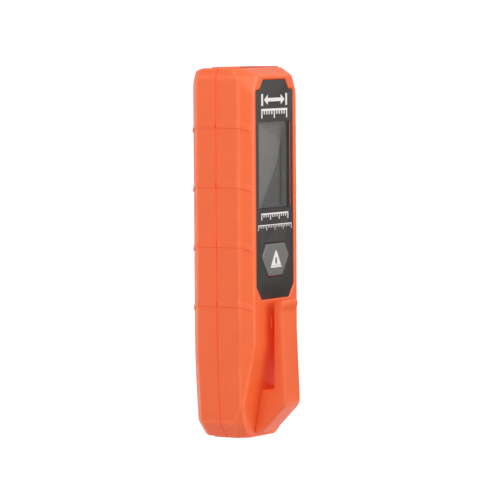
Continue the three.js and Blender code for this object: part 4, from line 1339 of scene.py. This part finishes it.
for node, slot in (("lcd_backlight", "diffuser"), ("clock_crystal", "steel"),
                   ("laser_diode", "brass"), ("light_sensor", "chip_black")):
    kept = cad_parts[node]
    kept.data.materials.clear()
    kept.data.materials.append(finishes[slot])


# ---- floor, light, camera
def flat_piece(name, corners, emission, albedo, **seen):
    """A plain sheet of the studio, through corners in metres, with the rays that see it."""
    mesh = bpy.data.meshes.new(name)
    mesh.from_pydata(corners, [], [tuple(range(len(corners)))])
    sheet = bpy.data.objects.new(name, mesh)
    bpy.context.scene.collection.objects.link(sheet)
    paper = shade(name, (albedo,) * 3, 0.9, mottle=0.004, patina=200)
    shader = paper.node_tree.nodes["Principled BSDF"]
    shader.inputs["Specular IOR Level"].default_value = 0.0
    shader.inputs["Emission Color"].default_value = (1, 1, 1, 1)
    shader.inputs["Emission Strength"].default_value = emission
    mesh.materials.append(paper)
    for rays, value in seen.items():
        setattr(sheet, rays, value)


def stage():
    """A pale floor, and a grey card beyond the frame that the panel and its window reflect."""
    size = 8.0
    flat_piece("floor", [(-size, -size, 0), (size, -size, 0), (size, size, 0), (-size, size, 0)],
               0.95, 0.25, visible_diffuse=False)
    away = np.array([0.846, -0.529, 0])
    across = np.array([0.529, 0.846, 0])
    near = np.array(to_frame((0, -HALF_DEPTH, 0))[0])

    def spot(distance, lateral, height):
        return tuple(near + away * distance + across * lateral + (0, 0, height))

    card = [spot(0.4, -0.06, 0), spot(0.4, 0.25, 0), spot(0.4, 0.25, 0.22), spot(0.4, 0.1, 0.21)]
    mat = [spot(0.07, -0.05, 0.0005), spot(0.4, -0.15, 0.0005), spot(0.4, 0.25, 0.0005),
           spot(0.07, 0.05, 0.0005)]
    hidden = {"visible_camera": False, "visible_diffuse": False, "visible_shadow": False}
    flat_piece("card", card, 0.27, 0.0, **hidden)
    flat_piece("mat", mat, 0.1, 0.0, **hidden)


def studio():
    """White to the camera; a sky that is brightest overhead and dim below lights the meter."""
    world = bpy.data.worlds.new("studio")
    bpy.context.scene.world = world
    world.use_nodes = True
    nodes, links = world.node_tree.nodes, world.node_tree.links
    plain = nodes.new("ShaderNodeBackground")
    plain.inputs["Color"].default_value = (1, 1, 1, 1)
    plain.inputs["Strength"].default_value = 1.05
    split = nodes.new("ShaderNodeSeparateXYZ")
    links.new(nodes.new("ShaderNodeTexCoord").outputs["Generated"], split.inputs[0])
    height = nodes.new("ShaderNodeMapRange")
    height.inputs["From Min"].default_value = -1
    links.new(split.outputs["Z"], height.inputs["Value"])
    sky = nodes.new("ShaderNodeValToRGB")
    links.new(height.outputs["Result"], sky.inputs["Fac"])
    sky.color_ramp.elements.new(0.5)
    for element, place, colour in zip(sky.color_ramp.elements, (0.3, 0.52, 1.0), SKY):
        element.position = place
        element.color = (*colour, 1)
    links.new(sky.outputs["Color"], nodes["Background"].inputs["Color"])
    path = nodes.new("ShaderNodeLightPath")
    pick = nodes.new("ShaderNodeMixShader")
    links.new(path.outputs["Is Camera Ray"], pick.inputs["Fac"])
    links.new(nodes["Background"].outputs["Background"], pick.inputs[1])
    links.new(plain.outputs["Background"], pick.inputs[2])
    links.new(pick.outputs["Shader"], nodes["World Output"].inputs["Surface"])


SKY = ((0.6, 0.44, 0.4), (0.8, 0.79, 0.79), (0.72, 0.72, 0.72))


def lamp(name, place, aim, size, power):
    """A soft rectangular lamp that faces a point, both in metres from the object's foot."""
    data = bpy.data.lights.new(name, "AREA")
    data.shape = "RECTANGLE"
    data.size, data.size_y = size
    data.energy = power
    light = bpy.data.objects.new(name, data)
    light.location = place
    light.rotation_mode = "QUATERNION"
    light.rotation_quaternion = (Vector(aim) - Vector(place)).to_track_quat("-Z", "Y")
    light.visible_camera = False
    bpy.context.scene.collection.objects.link(light)


def lights():
    middle = (0, 0, HEIGHT * MM * 0.7)
    lamp("left_light", (-0.34, -0.02, 0.26), (0, 0, HEIGHT * MM), (0.16, 0.16), 0.46)
    lamp("front_light", (0.2, -0.72, 0.32), middle, (0.4, 0.4), 2.5)


def camera():
    """The photograph's angle: from the front left, a little above the middle."""
    turn, down, roll = map(math.radians, (58.0, 3.687, -0.3616))
    lens, sensor, distance = 264.61, 36.0, 1.24996
    aim = Vector(to_frame((0, -0.738, HEIGHT / 2))[0])
    right = Vector((math.cos(turn), -math.sin(turn), 0))
    level = Vector((math.sin(turn), math.cos(turn), 0))
    up = Vector((0, 0, 1))
    forward = level * math.cos(down) - up * math.sin(down)
    rise = level * math.sin(down) + up * math.cos(down)
    aim += (0.8544 * right + 0.5432 * rise) * MM
    across = right * math.cos(roll) + rise * math.sin(roll)
    top = rise * math.cos(roll) - right * math.sin(roll)
    data = bpy.data.cameras.new("camera")
    data.lens = lens
    data.sensor_width = sensor
    data.clip_start, data.clip_end = 0.05, 50
    view = bpy.data.objects.new("camera", data)
    turned_to = Matrix((across, top, -forward)).transposed().to_4x4()
    view.matrix_world = Matrix.Translation(aim - forward * distance) @ turned_to
    bpy.context.scene.collection.objects.link(view)
    bpy.context.scene.camera = view


stage()
studio()
lights()
camera()
bpy.context.scene.view_settings.view_transform = "Standard"
